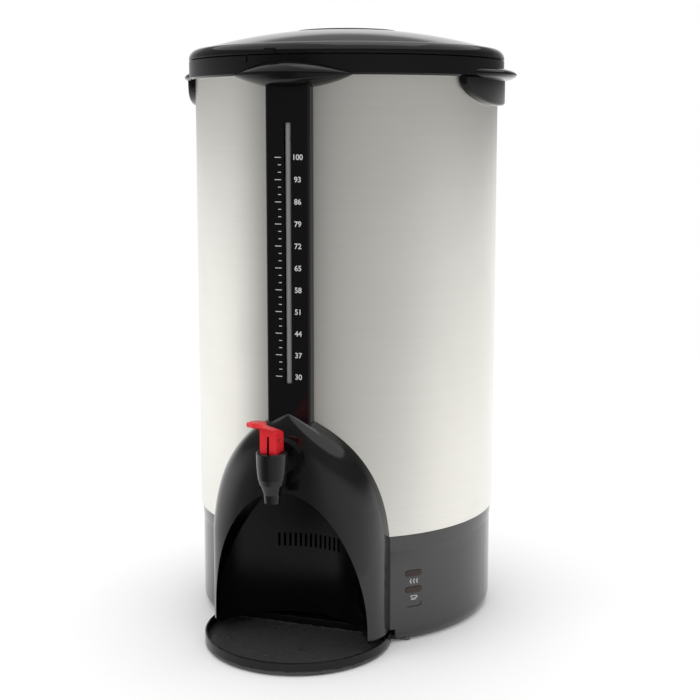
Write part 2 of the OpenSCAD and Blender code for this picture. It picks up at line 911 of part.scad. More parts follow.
module gauge_elbow() {
    half = 5.5;
    color("#303033")
        difference() {
            union() {
                block([-half, half], [-elbow_y - 4.2, -(tank_r + 0.3)], [elbow_z, elbow_z + elbow_h]);
                block([-half, half], [-tube_y - 4.5, -(tank_r + 0.3)], [elbow_z, gauge_low - 0.2]);
                translate([0, -elbow_y, 0]) disc(3, elbow_z - 4, elbow_z + 1);
            }
            translate([0, -tube_y, 0]) disc(tube_d / 2, tube_low, far);
            translate([0, -tube_y, 0]) disc(1.6, elbow_z + 3, far);
            translate([0, -elbow_y, 0]) disc(1.6, 0, elbow_z + 3);
            front_rod(1.6, tube_y, elbow_y, elbow_z + 3);
            disc(tank_r + 0.2, 0, far);
        }
}

// ---------- collar, visor and handles ----------

collar_low = tank_top - 8;
collar_top = collar_low + collar_h;
throat_r = tank_in - 5;
flange_in = throat_r - 4;
flange_low = collar_top - 6.5;
flange_high = collar_top - 3.5;
lock_angles = [60, 180, 300];
flange_arc = 16;
lug_arc = 14;
lug_offset = (flange_arc + lug_arc) / 2 + 1.5;
mark_angle = -18.5;

module collar() {
    edge = 1.5;
    color("#121214") {
        difference() {
            rotate_extrude()
                polygon([[tank_r + fit, collar_low], [collar_r - edge, collar_low],
                         [collar_r, collar_low + edge], [collar_r, collar_top - 0.6],
                         [collar_r - 0.6, collar_top], [throat_r, collar_top], [throat_r, collar_low + 2],
                         [tank_in - fit, collar_low + 2], [tank_in - fit, tank_top + fit],
                         [tank_r + fit, tank_top + fit]]);
        }
        for (a = lock_angles)
            ring_arc(a, flange_arc, flange_in, throat_r + 0.5, flange_low, flange_high);
        ring_arc(mark_angle, 6, collar_r - 1, collar_r + 0.9, collar_top - 6, collar_top - 1);
    }
}

// A lens-shaped bulge: its plan is an arc over a chord, and each slice along it is an ellipse.
module bulge(out, half, height, z, bluntness) {
    slices = 14;
    reach = collar_r + out;
    chord = sqrt(collar_r * collar_r - half * half);
    rise = reach - chord;
    r = (half * half + rise * rise) / (2 * rise);
    hull()
        for (i = [0 : slices]) {
            s = sin(-90 + 180 * i / slices);
            x = half * s;
            p = max(0.5, sqrt(r * r - x * x) - (r - rise));
            h = max(0.5, height / 2 * pow(max(0, 1 - s * s), bluntness));
            translate([x, -chord, z])
                rotate([90, 0, 90])
                    linear_extrude(0.01)
                        polygon([for (k = [0 : 23]) [p * cos(15 * k), h * sin(15 * k)]]);
        }
}

module front_visor() {
    color("#121214")
        difference() {
            bulge(visor_out, visor_half, visor_h, collar_low + 0.5, 1);
            disc(collar_r + fit, collar_low - fit, far * 2);
            disc(tank_r + fit, 0, far);
            disc(tank_r + fit, 0, far * 2);
            gauge_bar(0.15, 0);
        }
}

module skirt_outline() {
    steps = 28;
    half = collar_r * sin(26);
    polygon(concat([[-half, 4], [half, 4]],
                   [for (i = [0 : steps])
                       let (y = half * cos(180 * i / steps))
                           [y, -skirt_h * pow(max(0, 1 - pow(abs(y) / half, 2.2)), 1 / 2.2)]]));
}

module handle() {
    plate_h = 11.5;
    skirt_back = collar_r - 31;
    color("#121214")
        difference() {
            union() {
                bulge(handle_out, handle_half, plate_h, collar_low + 3.6, 0.3);
                intersection() {
                    translate([0, -skirt_back, collar_low]) rotate([90, 0, 0]) linear_extrude(60) skirt_outline();
                    tube(collar_r + 1, tank_r + fit, collar_low - skirt_h - 2, collar_low - fit);
                }
            }
            disc(collar_r + fit, collar_low - fit, far * 2);
            disc(tank_r + fit, 0, far * 2);
            for (a = [-15, 15]) at(a)
                translate([0, 0, handle_screw_z]) rotate([0, 90, 0]) cylinder(r = 2, h = tank_r + 5);
        }
}

module left_handle() {
    rotate(-90) handle();
}

module right_handle() {
    rotate(90) handle();
}

module handle_screws() {
    color("#b8b8bc")
        for (a = handle_screw_angles) at(a)
            translate([0, 0, handle_screw_z]) rotate([0, 90, 0]) {
                disc(3.6, tank_in - 2.6, tank_in - 0.2);
                disc(2, tank_in - 0.2, tank_r + 4.8);
            }
}

// ---------- lid ----------

lid_r = collar_r;
lid_low = collar_top + 0.5;
shoulder_r = 8.6;
shoulder_z = lid_low + lid_rim_h - shoulder_r;
dome_edge = lid_r - shoulder_r;
dome_r = (dome_edge * dome_edge + dome_rise * dome_rise) / (2 * dome_rise);
dome_low = lid_low + lid_rim_h - 0.6;
dome_top = dome_low + dome_rise;
plug_r = throat_r - 5;
plug_low = flange_low - 7.5;
island_r = grip_d / 2;
grip_hole = island_r - 6;
grip_depth = 14;
lid_screw_r = plug_r - 40.5;
lid_screw_angles = [0, 120, 240];
liner_z = plug_low + 3;

// The height of the dome's surface at a distance from the axis.
function dome_z(r) = dome_top - dome_r + sqrt(dome_r * dome_r - r * r);

island_top = dome_z(island_r) + 0.8;
seat_top = island_top - 2.2;

module dome_outline(drop) {
    intersection() {
        translate([0, dome_top - dome_r - drop]) circle(r = dome_r, $fn = 360);
        translate([0, lid_low - 20]) square([dome_edge, 60]);
    }
}

module lid_outline() {
    dome_outline(0);
    translate([0, lid_low]) square([dome_edge, lid_rim_h - shoulder_r]);
    translate([0, lid_low]) square([lid_r, lid_rim_h - shoulder_r]);
    translate([dome_edge, shoulder_z]) circle(r = shoulder_r);
}

module lid_shell() {
    color("#0f0f11") {
        difference() {
            rotate_extrude()
                difference() {
                    intersection() {
                        lid_outline();
                        translate([0, lid_low]) square([far, far]);
                    }
                    intersection() {
                        dome_outline(lid_wall);
                        translate([0, lid_low - over]) square([plug_r, far]);
                    }
                    translate([0, lid_low - over]) square([plug_r, over + 6]);
                    intersection() {
                        translate([plug_r + 3, lid_low - over]) square([lid_r - plug_r - 6, over + 5.5]);
                        translate([0, lid_low - over]) square([far, far]);
                    }
                }
            disc(island_r + fit, seat_top, far * 2);
            disc(grip_hole, 0, far * 2);
        }
        tube(island_r + 3, grip_hole, seat_top - 2, seat_top);
        tube(plug_r, plug_r - 3, plug_low, dome_z(plug_r) - 1);
        for (a = lock_angles)
            ring_arc(a - lug_offset, lug_arc, plug_r - 1, throat_r - 0.8, flange_low - 5, flange_low - 1);
        ring_arc(mark_angle + lock_turn, 4, lid_r - 1, lid_r + 0.9, lid_low + 0.4, lid_low + 4.5);
        for (a = lid_screw_angles) at(a)
            translate([lid_screw_r, 0, 0])
                difference() {
                    disc(4, liner_z + 1.1, dome_z(lid_screw_r + 4) - lid_wall / 2);
                    disc(1.6, 0, liner_z + 12);
                }
    }
}

// One finger well, between the bridge and the island's round wall.
module finger_well(side) {
    intersection() {
        disc(grip_hole - 4, island_top - grip_depth, far * 2);
        translate([0, side * (bridge_w / 2 + far / 2), 0]) cube([far, far, far * 3], center = true);
    }
}

module lid_grip() {
    edge = 1;
    neck_r = grip_hole - 0.2;
    low = island_top - grip_depth - 2.5;
    color("#0f0f11")
        difference() {
            rotate_extrude() {
                translate([0, low]) square([neck_r, island_top - low]);
                translate([0, seat_top + fit]) square([island_r, island_top - edge - seat_top - fit]);
                translate([0, seat_top + fit]) square([island_r - edge, island_top - seat_top - fit]);
                translate([island_r - edge, island_top - edge]) circle(r = edge);
            }
            for (s = [-1, 1]) finger_well(s);
            block([-grip_hole + 5, grip_hole - 5], [-bridge_w / 2 + 2.5, bridge_w / 2 - 2.5],
                  [0, island_top - 3]);
        }
}

module lid_liner() {
    color("#c6c5bf")
        difference() {
            disc(plug_r - 3.3, liner_z, liner_z + 1);
            for (a = lid_screw_angles) at(a) translate([lid_screw_r, 0, 0]) disc(2, 0, far * 2);
            for (a = lock_angles) at(a) translate([plug_r - 24.5, 0, 0]) disc(2.5, 0, far * 2);
        }
}

module lid_screws() {
    color("#b8b8bc")
        for (a = lid_screw_angles) at(a)
            translate([lid_screw_r, 0, 0]) {
                disc(3.4, liner_z - 1.8, liner_z);
                disc(1.6, liner_z, liner_z + 9);
            }
}

module lid_seal() {
    color("#d8d6cf") tube(throat_r - gap, plug_r + gap, flange_high + gap, lid_low - gap);
}

// ---------- percolator ----------

pump_r = pump_d / 2;
pump_low = well_z + floor_t + 0.2;
pump_top = tank_top - 5;
basket_z = tank_top - 67;
bead_h = 2.8;
basket_r = basket_d / 2;
cover_z = basket_z + basket_h + 0.2;

module hole_rings(radii, spacing) {
    for (r = radii) {
        n = floor(2 * PI * r / spacing);
        for (i = [0 : n - 1]) rotate(360 * i / n) translate([r, 0, 0]) disc(hole_d / 2, 0, far * 2);
    }
}

module pump_tube() {
    foot_r = pump_foot_d / 2;
    bell_top = pump_low + 20;
    t = pump_wall;
    color("#b5b4ae")
        difference() {
            union() {
                rotate_extrude()
                    polygon([[foot_r - t, pump_low], [foot_r, pump_low], [foot_r, pump_low + 5],
                             [pump_r + 2, bell_top], [pump_r, bell_top + 3], [pump_r - t, bell_top + 3],
                             [pump_r - t, bell_top], [foot_r - t, pump_low + 4]]);
                tube(pump_r, pump_r - t, pump_low + 2, pump_top);
                tube(pump_r + 3, pump_r - t, basket_z - bead_h - 0.2, basket_z - 0.2);
                tube(pump_r + 3, pump_r - t, pump_low + 2, pump_low + 3.4);
            }
            for (a = [0 : 45 : 315]) rotate(a)
                translate([foot_r, 0, pump_low]) rotate([0, 90, 0]) cylinder(r = 2, h = 8, center = true);
        }
}

module pump_valve() {
    color("#d0cfc9") tube(pump_r + 10, pump_r + 0.4, pump_low + 3.7, pump_low + 4.5);
}

module coffee_basket() {
    t = 1;
    sleeve_r = pump_r + 0.5;
    color("#c6c5bf")
        difference() {
            union() {
                tube(basket_r, sleeve_r, basket_z, basket_z + t);
                tube(basket_r, basket_r - t, basket_z, basket_z + basket_h);
                tube(basket_r + 2, basket_r - t, basket_z + basket_h - 1.5, basket_z + basket_h);
                tube(sleeve_r + t, sleeve_r, basket_z, basket_z + basket_h - 6);
            }
            hole_rings([22 : 20 : basket_r - 15], 11);
        }
}

module basket_cover() {
    t = 1;
    color("#c6c5bf")
        difference() {
            union() {
                tube(basket_r + 2, pump_r + 0.5, cover_z, cover_z + t);
                tube(basket_r + 2, basket_r + 1, cover_z, cover_z + 3.5);
            }
            hole_rings([30 : 22 : basket_r - 15], 13);
        }
}

base_shell();
base_plate();
base_screws();
rubber_feet();
heating_lens();
warm_lens();
lamp_holder();
power_inlet();
terminal_block();
tie_rods();
rod_nuts();
heat_shield();
boil_element();
element_clamp();
clamp_nut();
warm_element();
thermostat();
thermal_fuse();
wiring();
tap_hood();
cup_bay();
drip_tray();
tank_wall_shell();
tank_floor();
heating_well();
tap_shank();
shank_nut();
shank_washers();
tap_body();
tap_bonnet();
tap_stem();
seat_cup();
tap_spring();
lever_pin();
tap_lever();
gauge_elbow();
sight_tube();
gauge_strip();
gauge_cap();
collar();
front_visor();
left_handle();
right_handle();
handle_screws();
lid_seal();
lid_shell();
lid_grip();
lid_liner();
lid_screws();
pump_tube();
pump_valve();
coffee_basket();
basket_cover();
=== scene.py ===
"""Looks of a coffee urn: a brushed steel tank on a black moulded base, with a cup bay, a tap with a
red lever, a sight gauge, a black twist-off lid and a percolator inside.

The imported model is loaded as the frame, each sub-assembly is dressed by a class of its own, and the
studio is built last. Shapes are in millimetres, the studio and the textures in metres; +Z is up, the
front is -Y, and the origin is on the tank's axis at table level.
"""

from __future__ import annotations

import logging
import math
from dataclasses import dataclass, field
from enum import Enum
from functools import cached_property
from typing import Sequence

import bmesh
import bpy
from mathutils import Matrix, Vector

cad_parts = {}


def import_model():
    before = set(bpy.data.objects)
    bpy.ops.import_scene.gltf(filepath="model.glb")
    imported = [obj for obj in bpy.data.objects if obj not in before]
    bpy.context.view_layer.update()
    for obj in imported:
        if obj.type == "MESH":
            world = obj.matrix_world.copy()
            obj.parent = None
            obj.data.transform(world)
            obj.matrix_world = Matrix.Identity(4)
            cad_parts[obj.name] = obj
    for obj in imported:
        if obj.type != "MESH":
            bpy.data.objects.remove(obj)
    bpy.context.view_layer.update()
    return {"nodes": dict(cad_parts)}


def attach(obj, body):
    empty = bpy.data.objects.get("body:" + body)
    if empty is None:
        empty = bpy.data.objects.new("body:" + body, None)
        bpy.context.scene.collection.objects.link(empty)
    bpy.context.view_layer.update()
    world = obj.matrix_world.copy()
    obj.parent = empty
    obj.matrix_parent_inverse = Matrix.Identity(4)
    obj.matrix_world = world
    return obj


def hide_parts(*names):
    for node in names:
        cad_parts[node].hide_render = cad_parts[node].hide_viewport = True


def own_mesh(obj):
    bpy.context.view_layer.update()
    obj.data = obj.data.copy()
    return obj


LOG = logging.getLogger("coffee_urn")
MM = 0.001
SHARP = 32.0  # an edge that turns more, in degrees, stays sharp

Colour = tuple[float, float, float]
Point = tuple[float, float, float]
Loop = list[tuple[float, float]]
Socket = bpy.types.NodeSocket


# ---------- names and shared sizes ----------


class Body(str, Enum):
    """The moving bodies that the scene's own pieces ride on."""

    URN = "urn"
    LEVER = "lever"
    TRAY = "tray"


class Slot(str, Enum):
    """The record's material slot names, one passed with each of the scene's own pieces."""

    GLOSS_BLACK = "gloss_black"
    PLATED = "plated"
    RED = "red"
    WHITE_PLASTIC = "white_plastic"


@dataclass(frozen=True)
class Layout:
    """Sizes that several sub-assemblies share, in millimetres."""

    tank_r: float = 135.5
    base_r: float = 133.25
    core_r: float = 1.0
    mid_z: float = 300.0
    gauge_half: float = 19.35
    gauge_face: float = 143.15
    gauge_back: float = 100.0


SIZES = Layout()


# ---------- node trees ----------


class Bench:
    """A node tree that is being wired."""

    def __init__(self, tree: bpy.types.NodeTree) -> None:
        """Takes the tree and starts it empty.

        Args:
            tree: The material's, group's or world's node tree.
        """
        self.tree = tree
        tree.nodes.clear()

    def add(self, kind: str, **values: object) -> bpy.types.Node:
        """Adds a node and sets its properties or input values.

        Args:
            kind: The node's Blender type.
            **values: A property's name, or an input's name with _ for each space.

        Returns:
            The new node.
        """
        node = self.tree.nodes.new(kind)
        for name, value in values.items():
            if hasattr(node, name):
                setattr(node, name, value)
            else:
                self.put(node, name.replace("_", " "), value)
        return node

    def put(self, node: bpy.types.Node, socket: str | int, value: object) -> None:
        """Sets an input's value, or wires an output to it.

        Args:
            node: The node that has the input.
            socket: The input's name or number.
            value: A plain value, or the output socket to wire from.
        """
        target = node.inputs[socket]
        if isinstance(value, bpy.types.NodeSocket):
            self.tree.links.new(value, target)
        else:
            target.default_value = value

    def maths(self, operation: str, *terms: float | Socket, clamp: bool = False) -> Socket:
        """Adds a Math node.

        Args:
            operation: Blender's name of the operation.
            *terms: Its inputs, as values or sockets.
            clamp: Whether the answer stays within 0 and 1.

        Returns:
            The answer's socket.
        """
        node = self.add("ShaderNodeMath", operation=operation, use_clamp=clamp)
        for i, term in enumerate(terms):
            self.put(node, i, term)
        return node.outputs[0]

    def total(self, start: float | Socket, *shares: tuple[Socket, float], clamp: bool = False) -> Socket:
        """Adds shares of sockets to a start value.

        Args:
            start: The first term.
            *shares: Each further socket, and how much of it is added.
            clamp: Whether the sum stays within 0 and 1.

        Returns:
            The sum's socket.
        """
        for i, (socket, share) in enumerate(shares):
            start = self.maths("ADD", start, self.maths("MULTIPLY", socket, share),
                               clamp=clamp and i == len(shares) - 1)
        return start

    def radius(self, x: Socket, y: Socket) -> Socket:
        """Gives the distance from the Z axis.

        Args:
            x: The X coordinate.
            y: The Y coordinate.

        Returns:
            The distance's socket.
        """
        squares = self.maths("ADD", self.maths("MULTIPLY", x, x), self.maths("MULTIPLY", y, y))
        return self.maths("SQRT", squares)

    def noise(self, place: Socket, scale: float | Socket, detail: float = 2.0, rough: float = 0.5) -> Socket:
        """Adds a noise texture.

        Args:
            place: The coordinates.
            scale: How fine it is, per unit of the coordinates.
            detail: The number of octaves.
            rough: How strong the fine octaves are.

        Returns:
            The noise's value socket.
        """
        return self.add("ShaderNodeTexNoise", Vector=place, Scale=scale, Detail=detail,
                        Roughness=rough).outputs["Fac"]

    def span(self, value: Socket, low: float | Socket, high: float | Socket,
             out_low: float = 0.0, out_high: float = 1.0) -> Socket:
        """Maps a range to another with smooth ends.

        Args:
            value: The socket to map.
            low: The value that becomes out_low.
            high: The value that becomes out_high.
            out_low: The answer at and below low.
            out_high: The answer at and above high.

        Returns:
            The mapped value's socket.
        """
        node = self.add("ShaderNodeMapRange", interpolation_type="SMOOTHSTEP")
        for i, term in enumerate((value, low, high, out_low, out_high)):
            self.put(node, i, term)
        return node.outputs[0]

    def blend_colour(self, share: float | Socket, first: object, second: object) -> Socket:
        """Mixes two colours.

        Args:
            share: How much of the second colour there is.
            first: A colour or a colour socket.
            second: A colour or a colour socket.

        Returns:
            The mixed colour's socket.
        """
        node = self.add("ShaderNodeMix", data_type="RGBA")
        for socket, value in ((0, share), (6, first), (7, second)):
            self.put(node, socket, value)
        return node.outputs[2]

    def group(self, tree: bpy.types.NodeTree, **values: object) -> bpy.types.NodeOutputs:
        """Places a shared group with its input values or sockets, and gives its outputs."""
        return self.add("ShaderNodeGroup", node_tree=tree, **values).outputs

    def relief(self, shader: bpy.types.Node, height: Socket, strength: float, depth: float) -> None:
        """Feeds a height into a shader's normal, with a bump's strength and a depth in metres."""
        bump = self.add("ShaderNodeBump", Strength=strength, Distance=depth, Height=height)
        self.put(shader, "Normal", bump.outputs[0])


def rgba(colour: Colour, share: float = 1.0) -> tuple[float, ...]:
    """Gives a share of a colour, with full alpha."""
    return (*(share * c for c in colour), 1.0)


def blank_material(name: str) -> tuple[bpy.types.Material, Bench]:
    """Makes a material with an empty node tree.

    Args:
        name: The material's name.

    Returns:
        The material and its bench.
    """
    material = bpy.data.materials.new(name)
    material.use_nodes = True
    return material, Bench(material.node_tree)


@dataclass
class Effects:
    """The shader node groups that several finishes share, each built once. Scales are per metre."""

    cloud_scale: float = 14.0
    band_scale: float = 0.13
    ripple_scale: float = 160.0
    grain_scale: float = 1000.0
    flow_scale: float = 22.0
    wipe_scale: float = 9.0
    speck_scale: float = 900.0
    ragged_scale: float = 130.0
    ragged_depth: float = 0.004
    vectors: tuple[str, ...] = ("Place", "Stretch", "Unrolled")

    def start(self, name: str, inputs: str, outputs: str
              ) -> tuple[bpy.types.NodeTree, Bench, bpy.types.NodeOutputs, bpy.types.Node]:
        """Starts a group with its sockets.

        Args:
            name: The group's name.
            inputs: The inputs' names, parted by spaces.
            outputs: The outputs' names, likewise.

        Returns:
            The group's tree, its bench, the inputs' sockets inside it, and its output node.
        """
        tree = bpy.data.node_groups.new(name, "ShaderNodeTree")
        for way, labels in (("INPUT", inputs), ("OUTPUT", outputs)):
            for label in labels.split():
                kind = "NodeSocketVector" if label in self.vectors else "NodeSocketFloat"
                tree.interface.new_socket(name=label, in_out=way, socket_type=kind)
        bench = Bench(tree)
        return tree, bench, bench.add("NodeGroupInput").outputs, bench.add("NodeGroupOutput")

    @cached_property
    def wrap_round(self) -> bpy.types.NodeTree:
        """The group that unrolls a place about the tank's axis: length round, height, radius.

        Returns:
            The group's tree.
        """
        tree, b, source, sink = self.start("wrap_round", "Place Radius", "Unrolled")
        x, y, z = b.add("ShaderNodeSeparateXYZ", Vector=source["Place"]).outputs
        turn = b.maths("ARCTAN2", x, b.maths("MULTIPLY", y, -1.0))
        length = b.maths("MULTIPLY", turn, source["Radius"])
        out = b.add("ShaderNodeCombineXYZ", X=length, Y=z, Z=b.radius(x, y))
        b.put(sink, "Unrolled", out.outputs[0])
        return tree

    @cached_property
    def brush_lines(self) -> bpy.types.NodeTree:
        """The group that draws long fine lines of a brushed or turned metal.

        Returns:
            The group's tree.
        """
        tree, b, source, sink = self.start("brush_lines", "Place Stretch", "Height Shade Gloss")
        stretched = b.add("ShaderNodeVectorMath", operation="MULTIPLY")
        b.put(stretched, 0, source["Place"])
        b.put(stretched, 1, source["Stretch"])
        fine = b.noise(stretched.outputs[0], 1.0, 3.0, 0.65)
        bands = b.noise(stretched.outputs[0], self.band_scale)
        cloud = b.noise(source["Place"], self.cloud_scale)
        b.put(sink, "Height", b.total(fine, (bands, 0.5)))
        b.put(sink, "Shade", b.total(0.0, (fine, 0.35), (bands, 0.3), (cloud, 0.35)))
        b.put(sink, "Gloss", b.total(0.0, (fine, 0.6), (cloud, 0.4)))
        return tree

    @cached_property
    def mould_skin(self) -> bpy.types.NodeTree:
        """The group that gives moulded plastic its ripple, its grain and its flow marks.

        Returns:
            The group's tree.
        """
        tree, b, source, sink = self.start("mould_skin", "Place Fineness Ripple Grain", "Height Shade Gloss")
        place = source["Place"]
        ripple = b.noise(place, self.ripple_scale, 1.0, 0.4)
        grain = b.noise(place, b.maths("MULTIPLY", source["Fineness"], self.grain_scale), 2.0, 0.6)
        flow = b.noise(place, self.flow_scale, 3.0, 0.55)
        b.put(sink, "Height", b.maths("ADD", b.maths("MULTIPLY", ripple, source["Ripple"]),
                                      b.maths("MULTIPLY", grain, source["Grain"])))
        b.put(sink, "Shade", b.total(0.0, (flow, 0.6), (grain, 0.4)))
        b.put(sink, "Gloss", flow)
        return tree

    @cached_property
    def hand_marks(self) -> bpy.types.NodeTree:
        """The group of faint wiping marks and settled dust, which lies on what faces up.

        Returns:
            The group's tree.
        """
        tree, b, source, sink = self.start("hand_marks", "Place Wiping Dusting", "Marks Dust")
        place = source["Place"]
        swirl = b.add("ShaderNodeTexNoise", Vector=place, Scale=self.wipe_scale, Detail=3.0, Roughness=0.5,
                      Distortion=1.6)
        wipes = b.span(swirl.outputs["Fac"], 0.48, 0.72)
        specks = b.span(b.noise(place, self.speck_scale, 1.0), 0.68, 0.78)
        normal = b.add("ShaderNodeNewGeometry").outputs["Normal"]
        upward = b.span(b.add("ShaderNodeSeparateXYZ", Vector=normal).outputs[2], 0.55, 0.98)
        b.put(sink, "Marks", b.maths("MULTIPLY", wipes, source["Wiping"]))
        b.put(sink, "Dust", b.maths("MULTIPLY", b.maths("MULTIPLY", specks, upward), source["Dusting"]))
        return tree

    @cached_property
    def foot_rub(self) -> bpy.types.NodeTree:
        """The group that masks the worn band just above a height, where a piece is set down.

        Returns:
            The group's tree.
        """
        tree, b, source, sink = self.start("foot_rub", "Place Low High Amount", "Rub")
        height = b.add("ShaderNodeSeparateXYZ", Vector=source["Place"]).outputs[2]
        ragged = b.noise(source["Place"], self.ragged_scale, 4.0, 0.65)
        height = b.maths("SUBTRACT", height, b.maths("MULTIPLY", ragged, self.ragged_depth))
        band = b.span(height, source["Low"], source["High"], 1.0, 0.0)
        b.put(sink, "Rub", b.maths("MULTIPLY", band, source["Amount"]))
        return tree


EFFECTS = Effects()


# ---------- finishes ----------


@dataclass(frozen=True)
class Finish:
    """What every finish has: a name, a colour and a gloss."""

    name: str
    colour: Colour
    roughness: float

    def start(self) -> tuple[bpy.types.Material, Bench, bpy.types.Node, Socket]:
        """Makes the material with its shader and place coordinates.

        Returns:
            The material, its bench, its Principled BSDF and the place socket.
        """
        material, bench = blank_material(self.name)
        shader = bench.add("ShaderNodeBsdfPrincipled")
        bench.add("ShaderNodeOutputMaterial", Surface=shader.outputs[0])
        return material, bench, shader, bench.add("ShaderNodeTexCoord").outputs["Object"]

    def make(self) -> bpy.types.Material:
        """Makes the material."""
        raise NotImplementedError


@dataclass(frozen=True)
class GlossMoulding(Finish):
    """Glossy moulded plastic with faint ripple, wiping marks and dust, and a worn foot between two heights."""

    ripple: float = 0.30
    grain: float = 0.06
    fineness: float = 2.2
    depth: float = 0.00006
    wiping: float = 0.5
    dusting: float = 0.35
    dust_colour: Colour = (0.25, 0.25, 0.245)
    rub_low: float = -1.0
    rub_high: float = -0.99
    rub_colour: Colour = (0.06, 0.06, 0.062)
    rub_amount: float = 0.8
    ior: float = 1.5

    def make(self) -> bpy.types.Material:
        """Makes the moulding's material.

        Returns:
            The material.
        """
        material, b, shader, place = self.start()
        skin = b.group(EFFECTS.mould_skin, Place=place, Fineness=self.fineness, Ripple=self.ripple,
                       Grain=self.grain)
        marks = b.group(EFFECTS.hand_marks, Place=place, Wiping=self.wiping, Dusting=self.dusting)
        rub = b.group(EFFECTS.foot_rub, Place=place, Low=self.rub_low, High=self.rub_high,
                      Amount=self.rub_amount)
        colour = b.blend_colour(skin["Shade"], rgba(self.colour, 0.82), rgba(self.colour))
        colour = b.blend_colour(b.maths("MULTIPLY", marks["Dust"], 0.35), colour, rgba(self.dust_colour))
        b.put(shader, "Base Color", b.blend_colour(rub["Rub"], colour, rgba(self.rub_colour)))
        b.put(shader, "Roughness", b.total(self.roughness, (skin["Gloss"], 0.03), (marks["Marks"], 0.07),
                                           (marks["Dust"], 0.3), (rub["Rub"], 0.25), clamp=True))
        b.put(shader, "IOR", self.ior)
        b.relief(shader, skin["Height"], 0.5, self.depth)
        return material


@dataclass(frozen=True)
class BrushedSteel(Finish):
    """Stainless steel with brush lines about the tank's axis or across a disc."""

    stretch: tuple[float, float, float] = (36.0, 2600.0, 2600.0)
    depth: float = 0.00003
    bump: float = 0.35
    variation: float = 0.10
    streak_rough: float = 0.06
    mark_colour: Colour = (0.52, 0.50, 0.47)

    def make(self) -> bpy.types.Material:
        """Makes the steel's material.

        Returns:
            The material.
        """
        material, b, shader, place = self.start()
        unrolled = b.group(EFFECTS.wrap_round, Place=place, Radius=SIZES.tank_r * MM)["Unrolled"]
        lines = b.group(EFFECTS.brush_lines, Place=unrolled, Stretch=self.stretch)
        marks = b.group(EFFECTS.hand_marks, Place=place, Wiping=0.5, Dusting=0.15)["Marks"]
        colour = b.blend_colour(lines["Shade"], rgba(self.colour, 1.0 - self.variation),
                                rgba(self.colour, 1.0 + self.variation * 0.6))
        colour = b.blend_colour(b.maths("MULTIPLY", marks, 0.05), colour, rgba(self.mark_colour))
        b.put(shader, "Base Color", colour)
        b.put(shader, "Metallic", 1.0)
        b.put(shader, "Roughness", b.total(self.roughness - self.streak_rough / 2,
                                           (lines["Gloss"], self.streak_rough), (marks, 0.05), clamp=True))
        b.relief(shader, lines["Height"], self.bump, self.depth)
        return material


@dataclass(frozen=True)
class PlatedMetal(Finish):
    """Plated or cast metal with fine grain and dull spots."""

    fineness: float = 3.0
    spotting: float = 0.15
    depth: float = 0.00004

    def make(self) -> bpy.types.Material:
        """Makes the metal's material.

        Returns:
            The material.
        """
        material, b, shader, place = self.start()
        skin = b.group(EFFECTS.mould_skin, Place=place, Fineness=self.fineness, Ripple=0.3, Grain=0.4)
        marks = b.group(EFFECTS.hand_marks, Place=place, Wiping=0.6, Dusting=0.2)["Marks"]
        b.put(shader, "Base Color", b.blend_colour(skin["Shade"], rgba(self.colour, 1.0 - self.spotting),
                                                   rgba(self.colour)))
        b.put(shader, "Metallic", 1.0)
        b.put(shader, "Roughness", b.total(self.roughness, (skin["Gloss"], 0.08), (marks, 0.08)))
        b.relief(shader, skin["Height"], 0.4, self.depth)
        return material


@dataclass(frozen=True)
class SoftSkin(Finish):
    """Rubber, silicone or a wire's sleeve: dull, with a bloom in its colour."""

    fineness: float = 1.6
    bloom: float = 0.25
    depth: float = 0.00008
    dust_colour: Colour = (0.4, 0.4, 0.39)

    def make(self) -> bpy.types.Material:
        """Makes the soft skin's material.

        Returns:
            The material.
        """
        material, b, shader, place = self.start()
        skin = b.group(EFFECTS.mould_skin, Place=place, Fineness=self.fineness, Ripple=0.3, Grain=0.5)
        marks = b.group(EFFECTS.hand_marks, Place=place, Wiping=0.8, Dusting=0.8)
        pale = tuple(c + (0.5 - c) * self.bloom * 0.3 for c in self.colour)
        colour = b.blend_colour(skin["Shade"], rgba(self.colour), rgba(pale))
        colour = b.blend_colour(b.maths("MULTIPLY", marks["Dust"], 0.3), colour, rgba(self.dust_colour))
        b.put(shader, "Base Color", colour)
        b.put(shader, "Roughness", b.total(self.roughness, (marks["Marks"], 0.12)))
        b.relief(shader, skin["Height"], 0.6, self.depth)
        return material


@dataclass(frozen=True)
class ClearPlastic(Finish):
    """Clear or tinted plastic: a sight tube or a lamp window."""

    transmission: float
    ior: float = 1.49
    fineness: float = 1.2
    depth: float = 0.00004

    def make(self) -> bpy.types.Material:
        """Makes the clear plastic's material.

        Returns:
            The material.
        """
        material, b, shader, place = self.start()
        skin = b.group(EFFECTS.mould_skin, Place=place, Fineness=self.fineness, Ripple=0.4, Grain=0.1)
        b.put(shader, "Base Color", b.blend_colour(skin["Shade"], rgba(self.colour, 0.9), rgba(self.colour)))
        b.put(shader, "Roughness", b.total(self.roughness, (skin["Gloss"], 0.06)))
        b.put(shader, "Transmission Weight", self.transmission)
        b.put(shader, "IOR", self.ior)
        b.relief(shader, skin["Height"], 0.3, self.depth)
        return material


@dataclass(frozen=True)
class PrintedInk(Finish):
    """Pale ink that is printed on plastic, a little worn."""

    base: Colour = (0.012, 0.012, 0.013)
    wear_scale: float = 1400.0

    def make(self) -> bpy.types.Material:
        """Makes the ink's material.

        Returns:
            The material.
        """
        material, b, shader, place = self.start()
        whole = b.span(b.noise(place, self.wear_scale, 3.0, 0.6), 0.28, 0.42)
        b.put(shader, "Base Color", b.blend_colour(whole, rgba(self.base), rgba(self.colour)))
        b.put(shader, "Roughness", b.total(self.roughness, (whole, 0.1)))
        return material


